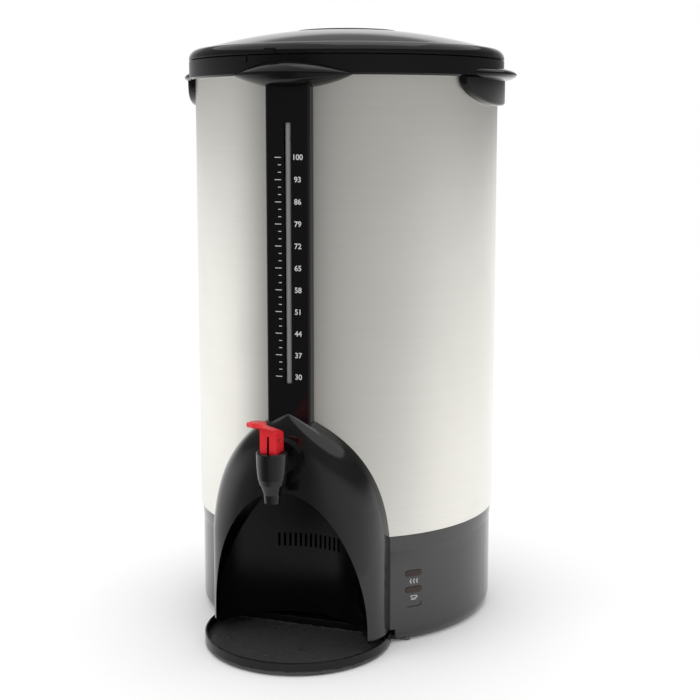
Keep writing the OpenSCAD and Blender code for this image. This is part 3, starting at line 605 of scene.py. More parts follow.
@dataclass
class FinishRack:
    """Every finish of the urn, made when it is first asked for."""

    made: dict[str, bpy.types.Material] = field(default_factory=dict)
    kinds: tuple[Finish, ...] = (
        GlossMoulding("gloss_black_moulding", (0.0036, 0.0036, 0.0039), 0.07, ior=1.32),
        GlossMoulding("hood_black_moulding", (0.0040, 0.0040, 0.0043), 0.08, dusting=0.2, ior=1.56),
        GlossMoulding("base_black_moulding", (0.0120, 0.0120, 0.0124), 0.12, dusting=0.2, rub_low=0.0004,
                      rub_high=0.0024, ior=1.72),
        GlossMoulding("lid_black_moulding", (0.0036, 0.0036, 0.0040), 0.05, wiping=0.3, dusting=0.15,
                      ior=1.40),
        GlossMoulding("bay_black_moulding", (0.0022, 0.0022, 0.0023), 0.22, grain=0.35, dusting=0.1,
                      ior=1.26),
        GlossMoulding("tray_black_moulding", (0.0036, 0.0036, 0.0038), 0.05, wiping=0.4, dusting=0.2,
                      rub_low=0.0012, rub_high=0.0026, ior=1.36),
        GlossMoulding("tap_black_moulding", (0.0050, 0.0050, 0.0053), 0.10, ripple=0.15, wiping=0.4,
                      ior=1.42),
        GlossMoulding("gauge_black_moulding", (0.0040, 0.0040, 0.0043), 0.10, ripple=0.15, ior=1.34),
        GlossMoulding("red_lever_moulding", (0.72, 0.020, 0.028), 0.16, ripple=0.2, wiping=0.3,
                      dusting=0.05),
        GlossMoulding("matte_black_moulding", (0.018, 0.018, 0.019), 0.42, grain=0.9, depth=0.0001,
                      fineness=1.4),
        GlossMoulding("white_moulding", (0.66, 0.64, 0.58), 0.34, grain=0.4, depth=0.00008),
        BrushedSteel("brushed_tank_steel", (0.775, 0.762, 0.712), 0.30),
        BrushedSteel("inner_tank_steel", (0.66, 0.65, 0.62), 0.26, stretch=(20.0, 1400.0, 1400.0),
                     variation=0.14),
        BrushedSteel("turned_steel", (0.70, 0.69, 0.66), 0.22, stretch=(30.0, 400.0, 2400.0),
                     variation=0.12),
        PlatedMetal("plated_hardware", (0.64, 0.63, 0.61), 0.24),
        PlatedMetal("element_sheath", (0.42, 0.40, 0.37), 0.38, spotting=0.35),
        SoftSkin("black_rubber", (0.02, 0.02, 0.021), 0.62),
        SoftSkin("pale_silicone", (0.62, 0.61, 0.57), 0.48, bloom=0.5),
        SoftSkin("red_silicone", (0.30, 0.045, 0.035), 0.5),
        SoftSkin("wire_sleeve", (0.72, 0.70, 0.62), 0.42),
        ClearPlastic("clear_tube", (0.36, 0.37, 0.38), 0.16, transmission=0.45),
        ClearPlastic("red_lamp_window", (0.030, 0.004, 0.004), 0.08, transmission=0.25),
        ClearPlastic("amber_lamp_window", (0.030, 0.010, 0.003), 0.08, transmission=0.25),
        PrintedInk("gauge_ink", (0.50, 0.50, 0.51), 0.35),
        PrintedInk("lamp_ink", (0.60, 0.60, 0.60), 0.35),
    )

    def get(self, name: str) -> bpy.types.Material:
        """Gives a finish's material.

        Args:
            name: The finish's name.

        Returns:
            The material.
        """
        if name not in self.made:
            self.made[name] = next(k for k in self.kinds if k.name == name).make()
        return self.made[name]


RACK = FinishRack()


# ---------- meshes ----------


def link(name: str, data: bpy.types.ID) -> bpy.types.Object:
    """Makes an object of some data and links it to the scene.

    Args:
        name: The object's name.
        data: Its mesh, curve, camera or light.

    Returns:
        The object.
    """
    thing = bpy.data.objects.new(name, data)
    bpy.context.scene.collection.objects.link(thing)
    return thing


class Shaper:
    """Makes solid meshes from millimetre sizes."""

    weld: float = 2e-6
    flat: float = 0.6
    rod_steps: int = 96

    @staticmethod
    def smooth(mesh: bpy.types.Mesh, angle: float = SHARP) -> None:
        """Shades a mesh smooth, with sharp edges where its faces turn more than an angle.

        Args:
            mesh: The mesh.
            angle: The sharp angle, in degrees.
        """
        bm = bmesh.new()
        bm.from_mesh(mesh)
        limit = math.radians(angle)
        for face in bm.faces:
            face.smooth = True
        for edge in bm.edges:
            edge.smooth = len(edge.link_faces) == 2 and edge.calc_face_angle(0.0) < limit
        bm.to_mesh(mesh)
        bm.free()

    @classmethod
    def solid(cls, name: str, points: Sequence[Sequence[float]],
              faces: Sequence[Sequence[int]]) -> bpy.types.Object:
        """Makes an object from points in millimetres.

        Args:
            name: The piece's name.
            points: The points.
            faces: Each face's point numbers.

        Returns:
            The object.
        """
        mesh = bpy.data.meshes.new(name)
        mesh.from_pydata([tuple(c * MM for c in p) for p in points], [], [tuple(f) for f in faces])
        bm = bmesh.new()
        bm.from_mesh(mesh)
        bmesh.ops.remove_doubles(bm, verts=bm.verts, dist=1e-7)
        bmesh.ops.recalc_face_normals(bm, faces=bm.faces)
        bm.to_mesh(mesh)
        bm.free()
        cls.smooth(mesh)
        return link(name, mesh)

    @classmethod
    def lathe(cls, name: str, profile: Loop, steps: int) -> bpy.types.Object:
        """Turns a closed profile of radius and height about the tank's axis.

        Args:
            name: The piece's name.
            profile: The profile's radius and height points.
            steps: The number of steps round.

        Returns:
            The object.
        """
        points = [(r * math.cos(t), r * math.sin(t), z)
                  for t in (2 * math.pi * i / steps for i in range(steps)) for r, z in profile]
        n = len(profile)
        faces = [(i * n + k, ((i + 1) % steps) * n + k, ((i + 1) % steps) * n + (k + 1) % n,
                  i * n + (k + 1) % n) for i in range(steps) for k in range(n)]
        return cls.solid(name, points, faces)

    @classmethod
    def loft(cls, name: str, loops: Sequence[Sequence[Sequence[float]]]) -> bpy.types.Object:
        """Skins a row of closed loops with as many points each, and caps its ends.

        Args:
            name: The piece's name.
            loops: The loops' points.

        Returns:
            The object.
        """
        n = len(loops[0])
        faces: list[Sequence[int]] = [
            (i * n + k, i * n + (k + 1) % n, (i + 1) * n + (k + 1) % n, (i + 1) * n + k)
            for i in range(len(loops) - 1) for k in range(n)]
        faces += [list(range(n))[::-1], [(len(loops) - 1) * n + k for k in range(n)]]
        return cls.solid(name, [p for loop in loops for p in loop], faces)

    @classmethod
    def bake(cls, piece: bpy.types.Object) -> None:
        """Applies a piece's modifiers to its mesh.

        Args:
            piece: The piece.
        """
        bpy.context.view_layer.update()
        graph = bpy.context.evaluated_depsgraph_get()
        mesh = bpy.data.meshes.new_from_object(piece.evaluated_get(graph))
        piece.modifiers.clear()
        piece.data = mesh
        cls.smooth(mesh)

    @classmethod
    def cut(cls, piece: bpy.types.Object, cutters: Sequence[bpy.types.Object],
            operation: str = "DIFFERENCE") -> None:
        """Cuts pieces out of a piece, or joins them to it, and removes them.

        Args:
            piece: The piece that is kept.
            cutters: The pieces that are used up.
            operation: Blender's Boolean operation.
        """
        for cutter in cutters:
            modifier = piece.modifiers.new("cut", "BOOLEAN")
            modifier.operation = operation
            modifier.solver = "EXACT"
            modifier.object = cutter
        cls.bake(piece)
        for cutter in cutters:
            bpy.data.objects.remove(cutter)

    @classmethod
    def copy_of(cls, node: bpy.types.Object, name: str) -> bpy.types.Object:
        """Makes a welded copy of a CAD node with its flat faces joined, so that its edges can be rounded.

        Args:
            node: The CAD node.
            name: The new piece's name.

        Returns:
            The new piece.
        """
        bm = bmesh.new()
        bm.from_mesh(node.data)
        bm.transform(node.matrix_world)
        bmesh.ops.remove_doubles(bm, verts=bm.verts, dist=cls.weld)
        bmesh.ops.dissolve_limit(bm, angle_limit=math.radians(cls.flat), verts=bm.verts, edges=bm.edges)
        bmesh.ops.recalc_face_normals(bm, faces=bm.faces)
        mesh = bpy.data.meshes.new(name)
        bm.to_mesh(mesh)
        bm.free()
        cls.smooth(mesh)
        return link(name, mesh)

    @classmethod
    def box(cls, name: str, low: Point, high: Point) -> bpy.types.Object:
        """Makes a box between two corners, for use as a cutter.

        Args:
            name: The piece's name.
            low: The lowest corner.
            high: The highest corner.

        Returns:
            The box.
        """
        return cls.loft(name, [[(low[0], low[1], z), (high[0], low[1], z), (high[0], high[1], z),
                                (low[0], high[1], z)] for z in (low[2], high[2])])

    @classmethod
    def front_rod(cls, name: str, radius: float, y0: float, y1: float, z: float) -> bpy.types.Object:
        """Makes a rod along Y between two distances in front of the tank's axis.

        Args:
            name: The piece's name.
            radius: Its radius.
            y0: Its near end's distance in front of the axis.
            y1: Its far end's distance.
            z: The height of its middle.

        Returns:
            The rod.
        """
        turns = [2 * math.pi * k / cls.rod_steps for k in range(cls.rod_steps)]
        return cls.loft(name, [[(radius * math.cos(t), -y, z + radius * math.sin(t)) for t in turns]
                               for y in (y0, y1)])

    @classmethod
    def round_edges(cls, piece: bpy.types.Object, width: float, over: float, steps: int = 3) -> None:
        """Rounds a piece's sharp outer edges.

        Args:
            piece: The piece.
            width: The rounding's width.
            over: The least angle between faces that is rounded, in degrees.
            steps: The number of segments.
        """
        bm = bmesh.new()
        bm.from_mesh(piece.data)
        weight = bm.edges.layers.float.new("bevel_weight_edge")
        for edge in bm.edges:
            if len(edge.link_faces) == 2 and edge.is_convex and edge.calc_face_angle() > math.radians(over):
                edge[weight] = 1.0
        bm.to_mesh(piece.data)
        bm.free()
        modifier = piece.modifiers.new("round", "BEVEL")
        modifier.width = width * MM
        modifier.segments = steps
        modifier.limit_method = "WEIGHT"
        cls.bake(piece)


@dataclass
class SubAssembly:
    """What every sub-assembly can do: dress its CAD nodes and place its own pieces."""

    nodes: dict[str, bpy.types.Object]
    finishes: tuple[tuple[str, str], ...] = ()

    def dress(self) -> None:
        """Gives each finish of finishes to its CAD nodes, whose names are parted by spaces."""
        for finish, names in self.finishes:
            for node in names.split():
                slots = self.nodes[node].data.materials
                if not slots:
                    slots.append(None)
                for i in range(len(slots)):
                    slots[i] = RACK.get(finish)
                LOG.info("node %s has %s", node, finish)

    def build(self) -> None:
        """Dresses the nodes. A sub-assembly with pieces of its own makes them here."""
        self.dress()

    def place(self, piece: bpy.types.Object, body: Body, finish: str, slot: Slot,
              stands_for: Sequence[str] = ()) -> None:
        """Finishes a piece and lets it ride on its body.

        Args:
            piece: The piece.
            body: The body that it moves with.
            finish: Its finish.
            slot: The record's slot of its finish; not used.
            stands_for: The CAD nodes that it replaces.
        """
        piece.data.materials.clear()
        piece.data.materials.append(RACK.get(finish))
        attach(piece, body.value)
        if stands_for:
            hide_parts(*stands_for)
        LOG.info("piece %s rides on %s with %s", piece.name, body.value, finish)

    @staticmethod
    def gauge_room(low: float, high: float) -> bpy.types.Object:
        """Makes the gauge strip's room between two heights, for use as a cutter."""
        return Shaper.box("gauge_room", (-SIZES.gauge_half, -SIZES.gauge_face, low),
                          (SIZES.gauge_half, -SIZES.gauge_back, high))


# ---------- sub-assemblies ----------


@dataclass
class Tank(SubAssembly):
    """The steel tank, its floor, heaters and works."""

    finishes: tuple[tuple[str, str], ...] = (
        ("brushed_tank_steel", "tank_wall_shell"),
        ("inner_tank_steel", "tank_floor heating_well heat_shield"),
        ("element_sheath", "boil_element warm_element"),
        ("plated_hardware", "element_clamp clamp_nut tie_rods rod_nuts"),
        ("white_moulding", "thermostat thermal_fuse"),
        ("wire_sleeve", "wiring"),
    )


@dataclass
class Base(SubAssembly):
    """The moulded base with its plate, feet, lamps and inlet."""

    finishes: tuple[tuple[str, str], ...] = (
        ("base_black_moulding", "base_shell"),
        ("matte_black_moulding", "base_plate power_inlet"),
        ("plated_hardware", "base_screws"),
        ("black_rubber", "rubber_feet"),
        ("red_lamp_window", "heating_lens"),
        ("amber_lamp_window", "warm_lens"),
        ("white_moulding", "lamp_holder terminal_block"),
    )
    lamp_angle: float = 45.0
    print_proud: float = 0.06
    sign_z: tuple[float, float] = (53.0, 39.4)
    sign_steps: int = 12
    wave_h: float = 4.0
    wave_swing: float = 0.7
    wave_gap: float = 3.0
    wave_width: float = 0.55
    bowl_r: float = 2.6
    bowl_depth: float = 2.4
    bowl_lift: float = 0.6
    bowl_lip: float = 0.4
    bowl_width: float = 0.5
    ear_r: float = 1.2
    ear_top: float = 0.3
    ear_h: float = 1.6
    ear_steps: int = 8

    def on_face(self, along: float, z: float) -> Point:
        """Gives a printed point on the base's face beside the lamps' middle line.

        Args:
            along: The distance to the right of the middle line.
            z: The height.

        Returns:
            The point.
        """
        turn = math.radians(self.lamp_angle - 90.0) + along / SIZES.base_r
        r = SIZES.base_r + self.print_proud
        return r * math.cos(turn), r * math.sin(turn), z

    def sign(self, name: str, strokes: Sequence[Loop], width: float) -> None:
        """Prints a sign of several strokes beside a lamp.

        Args:
            name: The piece's name.
            strokes: Each stroke's points as distance and height.
            width: The strokes' width.
        """
        points: list[Point] = []
        faces: list[tuple[int, ...]] = []
        for path in strokes:
            first = len(points)
            for i, (u, z) in enumerate(path):
                before, after = path[max(0, i - 1)], path[min(len(path) - 1, i + 1)]
                du, dz = after[0] - before[0], after[1] - before[1]
                size = math.hypot(du, dz)
                nu, nz = -dz / size * width / 2, du / size * width / 2
                points += [self.on_face(u + nu, z + nz), self.on_face(u - nu, z - nz)]
            faces += [(k, k + 1, k + 3, k + 2) for k in range(first, len(points) - 2, 2)]
        self.place(Shaper.solid(name, points, faces), Body.URN, "lamp_ink", Slot.WHITE_PLASTIC)

    def build(self) -> None:
        """Dresses the base and prints its two signs: waves, and a bowl with an ear on a plate."""
        self.dress()
        high, low = self.sign_z
        steps = range(self.sign_steps + 1)
        waves = [[(u + self.wave_swing * math.sin(k * math.pi / 4),
                   high + self.wave_h * (k / self.sign_steps - 0.5)) for k in steps]
                 for u in (-self.wave_gap, 0.0, self.wave_gap)]
        self.sign("boiling_sign", waves, self.wave_width)
        lip, plate = low + self.bowl_lift, low - self.bowl_r
        half = self.bowl_r + self.bowl_lip
        bowl = [(self.bowl_r * math.cos(t), lip + self.bowl_depth * math.sin(t))
                for t in (math.pi * (1 + k / self.sign_steps) for k in steps)]
        ear = [(self.bowl_r + self.ear_r * math.sin(math.pi * k / self.ear_steps),
                low + self.ear_top - self.ear_h * k / self.ear_steps) for k in range(self.ear_steps + 1)]
        self.sign("keep_warm_sign", [bowl, [(-half, lip), (half, lip)], ear,
                                     [(-self.bowl_r, plate), (self.bowl_r, plate)]], self.bowl_width)


@dataclass
class HoodAndBay(SubAssembly):
    """The arched hood, the cup bay's liner and the drip tray."""

    finishes: tuple[tuple[str, str], ...] = (
        ("bay_black_moulding", "cup_bay"),
    )
    nose: float = 157.0
    back: float = 100.0
    half_width: float = 79.2
    top: float = 201.5
    foot: float = 12.4
    foot_top: float = 60.0
    wall: float = 3.0
    taper_from: float = 40.0
    taper_power: float = 3.4
    taper_blunt: float = 0.63
    lean: float = 13.5
    lean_from: float = 135.0
    lean_power: float = 2.6
    squareness: float = 3.5
    base_h: float = 95.0
    base_round: float = 10.0
    base_straight: float = 81.0
    flare_r: float = 134.6
    flare_z: float = 94.2
    tank_z: float = 94.4
    bay_half: float = 69.0
    bay_foot: float = 20.0
    bay_rise: float = 118.0
    bay_y: tuple[float, float] = (-60.0, -200.0)
    boss_r: float = 19.0
    boss_face: float = 162.0
    boss_depth: float = 35.0
    shank_r: float = 9.1
    tap_z: float = 164.0
    rear_y: float = -105.0
    side_x: float = 200.0
    gauge_low: float = 190.5
    gap: float = 0.25
    steps: int = 96
    body_steps: int = 240
    sharp: float = 40.0
    tray_round: float = 0.7
    tray_over: float = 50.0

    def width_at(self, z: float, wall: float) -> float:
        """Gives the hood's half width at a height.

        Args:
            z: The height.
            wall: How far inside the outer face.

        Returns:
            The half width.
        """
        share = (max(z, self.base_h) - self.taper_from) / (self.top - wall - self.taper_from)
        return (self.half_width - wall) * max(0.0, 1.0 - share ** self.taper_power) ** self.taper_blunt

    def front_at(self, z: float, wall: float) -> float:
        """Gives the hood's reach in front of the axis at a height.

        Args:
            z: The height.
            wall: How far inside the outer face.

        Returns:
            The reach.
        """
        share = max(0.0, (z - self.lean_from) / (self.top - wall - self.lean_from))
        return self.nose - wall - self.lean * share ** self.lean_power

    def shell(self, name: str, wall: float, low: float, steps: int, levels: int) -> bpy.types.Object:
        """Lofts the hood's round form from superellipse sections.

        Args:
            name: The piece's name.
            wall: How far inside the outer face.
            low: The lowest height.
            steps: The number of steps along each section.
            levels: The number of sections above the straight foot.

        Returns:
            The closed form.
        """
        rise, power = self.top - wall - self.base_h, self.squareness
        heights = [low, self.foot_top] + [self.base_h + rise * math.sin(math.pi / 2 * i / levels)
                                          for i in range(levels + 1)]
        loops = []
        for z in heights:
            half, depth = max(0.2, self.width_at(z, wall)), self.front_at(z, wall) - self.back
            loop = []
            for i in range(steps + 1):
                c, q = math.cos(math.pi * i / steps), math.sin(math.pi * i / steps)
                reach = (abs(c) ** power + abs(q) ** power) ** (-1 / power)
                loop.append((half * c * reach, -self.back - depth * q * reach, z))
            loops.append(loop)
        return Shaper.loft(name, loops)

    def bay_form(self) -> bpy.types.Object:
        """Makes the cup bay's arched room as a cutter.

        Returns:
            The cutter.
        """
        outline = [(self.bay_half, 0.0)]
        outline += [(self.bay_half * math.cos(t), self.bay_foot + self.bay_rise * math.sin(t))
                    for t in (math.pi * i / self.steps for i in range(self.steps + 1))]
        outline.append((-self.bay_half, 0.0))
        return Shaper.loft("bay", [[(x, y, z) for x, z in outline] for y in self.bay_y])

    def envelope(self) -> bpy.types.Object:
        """Makes the form of the base and the tank as a cutter.

        Returns:
            The cutter.
        """
        base, tank, bend = SIZES.base_r + self.gap, SIZES.tank_r + self.gap, self.base_round
        profile = [(SIZES.core_r, 0.0), (base - bend, 0.0)]
        profile += [(base - bend + bend * math.sin(t), bend - bend * math.cos(t))
                    for t in (math.radians(a) for a in range(10, 91, 10))]
        profile += [(base, self.base_straight), (self.flare_r + self.gap, self.flare_z), (tank, self.tank_z),
                    (tank, SIZES.mid_z), (SIZES.core_r, SIZES.mid_z)]
        return Shaper.lathe("body", profile, self.body_steps)

    def hood(self) -> bpy.types.Object:
        """Makes the hood with its boss, its bay, and the room for the gauge and the tap's shank.

        Returns:
            The hood.
        """
        hood = self.shell("arched_hood", 0.0, self.foot, 72, 56)
        boss = Shaper.front_rod("boss", self.boss_r, self.boss_face - self.boss_depth, self.boss_face,
                                self.tap_z)
        Shaper.cut(hood, [boss], "UNION")
        Shaper.cut(hood, [
            self.shell("inside", self.wall, self.foot - 1.0, 48, 32),
            self.envelope(),
            Shaper.box("rear", (-self.side_x, self.rear_y, 0.0), (self.side_x, 0.0, SIZES.mid_z)),
            self.bay_form(),
            self.gauge_room(self.gauge_low, SIZES.mid_z),
            Shaper.front_rod("shank_room", self.shank_r, 0.0, self.boss_face + 2.0, self.tap_z),
        ])
        Shaper.smooth(hood.data, self.sharp)
        return hood

    def build(self) -> None:
        """Makes the hood and the tray, and dresses the liner."""
        self.dress()
        self.place(self.hood(), Body.URN, "hood_black_moulding", Slot.GLOSS_BLACK, ["tap_hood"])
        tray = Shaper.copy_of(self.nodes["drip_tray"], "round_tray")
        Shaper.round_edges(tray, self.tray_round, self.tray_over)
        self.place(tray, Body.TRAY, "tray_black_moulding", Slot.GLOSS_BLACK, ["drip_tray"])


@dataclass
class Tap(SubAssembly):
    """The tap: body, bonnet, stem, spring and red lever."""

    finishes: tuple[tuple[str, str], ...] = (
        ("tap_black_moulding", "tap_body tap_bonnet tap_shank"),
        ("plated_hardware", "tap_stem lever_pin"),
        ("red_silicone", "seat_cup"),
        ("matte_black_moulding", "shank_nut"),
        ("pale_silicone", "shank_washers"),
    )
    centre_y: float = 179.0
    spring_top: float = 173.0
    slot_half: float = 3.1
    slot_reach: float = 7.35
    slot_z: tuple[float, float] = (176.0, 184.5)
    lever_round: float = 0.8
    lever_over: float = 30.0
    lever_steps: int = 4

    def build(self) -> None:
        """Dresses the tap, rounds the lever and places a welded copy of the spring, with a mesh of its own.

        The lever's slot is lengthened first, because the solid's slot meets the stem at full press.
        """
        self.dress()
        low, high = self.slot_z
        lever = Shaper.copy_of(self.nodes["tap_lever"], "rounded_lever")
        Shaper.cut(lever, [Shaper.box("stem_swing", (-self.slot_half, -self.centre_y - self.slot_reach, low),
                                      (self.slot_half, -self.centre_y + self.slot_reach, high))])
        Shaper.round_edges(lever, self.lever_round, self.lever_over, self.lever_steps)
        self.place(lever, Body.LEVER, "red_lever_moulding", Slot.RED, ["tap_lever"])
        spring = Shaper.copy_of(self.nodes["tap_spring"], "coiled_spring")
        self.place(spring, Body.URN, "plated_hardware", Slot.PLATED, ["tap_spring"])
        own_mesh(spring)


@dataclass
class Gauge(SubAssembly):
    """The gauge strip with its tube, its numbers and its ticks."""

    finishes: tuple[tuple[str, str], ...] = (
        ("gauge_black_moulding", "gauge_strip"),
        ("clear_tube", "sight_tube"),
        ("matte_black_moulding", "gauge_cap gauge_elbow"),
    )
    face_y: float = 143.0
    proud: float = 0.05
    low_value: int = 30
    value_step: int = 7
    low_z: float = 232.6
    pitch: float = 17.96
    values: int = 11
    numbers_x: float = 9.0
    number_h: float = 4.5
    em_per_number: float = 1.38
    bold: float = 0.12
    ticks_per_value: int = 3
    tick_ends: tuple[float, float, float] = (-11.0, -8.0, -5.4)
    tick_half: float = 0.3

    def numeral(self, value: int, z: float) -> bpy.types.Object:
        """Makes one number as a thin printed mesh.

        Args:
            value: The number.
            z: The height of its middle.

        Returns:
            The object.
        """
        curve = bpy.data.curves.new(f"number_{value}", "FONT")
        curve.body = str(value)
        curve.size = self.number_h * MM * self.em_per_number
        curve.align_x = "CENTER"
        curve.align_y = "CENTER"
        curve.offset = self.bold * MM
        text = link(f"number_{value}", curve)
        bpy.context.view_layer.update()
        mesh = bpy.data.meshes.new_from_object(text.evaluated_get(bpy.context.evaluated_depsgraph_get()))
        bpy.data.objects.remove(text)
        place = Vector((self.numbers_x, -self.face_y - self.proud, z)) * MM
        mesh.transform(Matrix.Translation(place) @ Matrix.Rotation(math.pi / 2, 4, "X"))
        return link(f"gauge_number_{value}", mesh)

    def ticks(self) -> bpy.types.Object:
        """Makes every tick left of the tube as one printed mesh.

        Returns:
            The object.
        """
        points: list[Point] = []
        faces: list[tuple[int, ...]] = []
        long_end, short_end, near_end = self.tick_ends
        y = -self.face_y - self.proud
        for i in range((self.values - 1) * self.ticks_per_value + 1):
            middle = self.low_z + i * self.pitch / self.ticks_per_value
            far_end = short_end if i % self.ticks_per_value else long_end
            low, high, n = middle - self.tick_half, middle + self.tick_half, len(points)
            points += [(far_end, y, low), (near_end, y, low), (near_end, y, high), (far_end, y, high)]
            faces.append((n, n + 1, n + 2, n + 3))
        return Shaper.solid("gauge_ticks", points, faces)

    def build(self) -> None:
        """Dresses the gauge and prints its scale."""
        self.dress()
        for i in range(self.values):
            piece = self.numeral(self.low_value + self.value_step * i, self.low_z + i * self.pitch)
            self.place(piece, Body.URN, "gauge_ink", Slot.WHITE_PLASTIC)
        self.place(self.ticks(), Body.URN, "gauge_ink", Slot.WHITE_PLASTIC)


@dataclass
class Rim(SubAssembly):
    """The collar round the tank's top with the front visor and the two handles."""

    finishes: tuple[tuple[str, str], ...] = (
        ("gloss_black_moulding", "collar"),
        ("plated_hardware", "handle_screws"),
    )
    collar_r: float = 141.0
    collar_low: float = 478.0
    above: float = 560.0
    gap: float = 0.1
    visor_out: float = 13.5
    visor_half: float = 53.0
    visor_h: float = 24.0
    visor_lift: float = 0.5
    handle_out: float = 13.0
    handle_half: float = 50.0
    handle_h: float = 11.5
    handle_lift: float = 3.6
    handle_blunt: float = 0.3
    skirt_h: float = 23.0
    skirt_angle: float = 26.0
    skirt_proud: float = 1.0
    skirt_power: float = 2.2
    skirt_bead: float = 1.6
    skirt_edge: float = 0.6
    slices: int = 72
    sides: int = 48
    room_steps: int = 288
    least: float = 0.5
    plate_sharp: float = 50.0
    skirt_sharp: float = 40.0

    def bulge(self, name: str, out: float, half: float, height: float, z: float, blunt: float,
              turn: float = 0.0) -> bpy.types.Object:
        """Lofts a lens-shaped bulge whose plan is an arc over a chord.

        Args:
            name: The piece's name.
            out: Its reach beyond the collar.
            half: Its half length.
            height: Its height in the middle.
            z: The height of its middle plane.
            blunt: How slowly its height falls to the tips, as a power.
            turn: Its angle round the urn from the front, in degrees.

        Returns:
            The closed form.
        """
        chord = math.sqrt(self.collar_r ** 2 - half ** 2)
        rise = self.collar_r + out - chord
        arc = (half ** 2 + rise ** 2) / (2 * rise)
        c, q = math.cos(math.radians(turn)), math.sin(math.radians(turn))
        loops = []
        for i in range(self.slices + 1):
            share = math.sin(math.pi * (i / self.slices - 0.5))
            x = half * share
            reach = max(self.least, math.sqrt(arc ** 2 - x ** 2) - (arc - rise))
            tall = max(self.least, height / 2 * max(0.0, 1.0 - share * share) ** blunt)
            loop = []
            for k in range(self.sides):
                y = -chord - reach * math.cos(2 * math.pi * k / self.sides)
                loop.append((x * c - y * q, x * q + y * c, z + tall * math.sin(2 * math.pi * k / self.sides)))
            loops.append(loop)
        return Shaper.loft(name, loops)

    def room(self) -> bpy.types.Object:
        """Makes the form of the tank and the collar as a cutter.

        Returns:
            The cutter.
        """
        tank, collar, step = SIZES.tank_r + self.gap, self.collar_r + self.gap, self.collar_low - self.gap
        return Shaper.lathe("rim_room", [
            (SIZES.core_r, SIZES.mid_z), (tank, SIZES.mid_z), (tank, step), (collar, step),
            (collar, self.above), (SIZES.core_r, self.above)], self.room_steps)

    def skirt(self, name: str, turn: float) -> bpy.types.Object:
        """Lofts the curved skirt that hangs under a handle.

        Args:
            name: The piece's name.
            turn: Its angle round the urn from the front, in degrees.

        Returns:
            The closed form.
        """
        half, power = self.collar_r * math.sin(math.radians(self.skirt_angle)), self.skirt_power
        inner, outer = SIZES.tank_r + self.gap, self.collar_r + self.skirt_proud
        top, loops = self.collar_low - self.gap, []
        for i in range(self.slices + 1):
            share = math.sin(math.pi * (i / self.slices - 0.5))
            drop = max(0.4, self.skirt_h * max(0.0, 1.0 - abs(share) ** power) ** (1 / power))
            low, bead = top - drop, min(self.skirt_bead, drop * 0.45)
            profile = [(inner, top), (outer, top), (outer, low + bead)]
            profile += [(outer - bead * (1 - math.cos(t)), low + bead * (1 - math.sin(t)))
                        for t in (math.radians(a) for a in (22.5, 45.0, 67.5, 90.0))]
            profile += [(inner + self.skirt_edge, low), (inner, low + min(self.skirt_edge, drop * 0.3))]
            loop = []
            for r, z in profile:
                angle = math.radians(turn - 90.0) + math.asin(half * share / r)
                loop.append((r * math.cos(angle), r * math.sin(angle), z))
            loops.append(loop)
        skirt = Shaper.loft(name, loops)
        Shaper.smooth(skirt.data, self.skirt_sharp)
        return skirt

    def handle(self, name: str, turn: float, node: str) -> None:
        """Makes one side handle from its plate and its skirt.

        Args:
            name: The piece's name.
            turn: Its angle round the urn from the front, in degrees.
            node: The CAD node that it stands for.
        """
        plate = self.bulge(name, self.handle_out, self.handle_half, self.handle_h,
                           self.collar_low + self.handle_lift, self.handle_blunt, turn)
        Shaper.cut(plate, [self.room()])
        Shaper.smooth(plate.data, self.plate_sharp)
        for piece in (plate, self.skirt(f"{name}_skirt", turn)):
            self.place(piece, Body.URN, "gloss_black_moulding", Slot.GLOSS_BLACK, [node])

    def build(self) -> None:
        """Dresses the collar and makes the visor and the handles."""
        self.dress()
        visor = self.bulge("rounded_visor", self.visor_out, self.visor_half, self.visor_h,
                           self.collar_low + self.visor_lift, 1.0)
        Shaper.cut(visor, [self.room(), self.gauge_room(SIZES.mid_z, self.collar_low)])
        Shaper.smooth(visor.data, self.plate_sharp)
        self.place(visor, Body.URN, "gloss_black_moulding", Slot.GLOSS_BLACK, ["front_visor"])
        self.handle("left_grip", -90.0, "left_handle")
        self.handle("right_grip", 90.0, "right_handle")


@dataclass
class Lid(SubAssembly):
    """The twist-off lid."""

    finishes: tuple[tuple[str, str], ...] = (
        ("lid_black_moulding", "lid_shell lid_grip"),
        ("turned_steel", "lid_liner"),
        ("plated_hardware", "lid_screws"),
        ("pale_silicone", "lid_seal"),
    )


@dataclass
class Percolator(SubAssembly):
    """The pump tube, its valve, the coffee basket and its cover."""

    finishes: tuple[tuple[str, str], ...] = (
        ("turned_steel", "pump_tube coffee_basket basket_cover"),
        ("plated_hardware", "pump_valve"),
    )


# ---------- studio ----------


@dataclass(frozen=True)
class Lamp:
    """One soft lamp: its place, the point that it faces and its size in metres, and its power in watts."""

    name: str
    place: Point
    aim: Point
    size: tuple[float, float]
    power: float

    def hang(self) -> None:
        """Hangs the lamp."""
        data = bpy.data.lights.new(self.name, "AREA")
        data.shape = "RECTANGLE"
        data.size, data.size_y = self.size
        data.energy = self.power
        lamp = link(self.name, data)
        lamp.location = self.place
        lamp.rotation_euler = (Vector(self.aim) - Vector(self.place)).to_track_quat("-Z", "Y").to_euler()


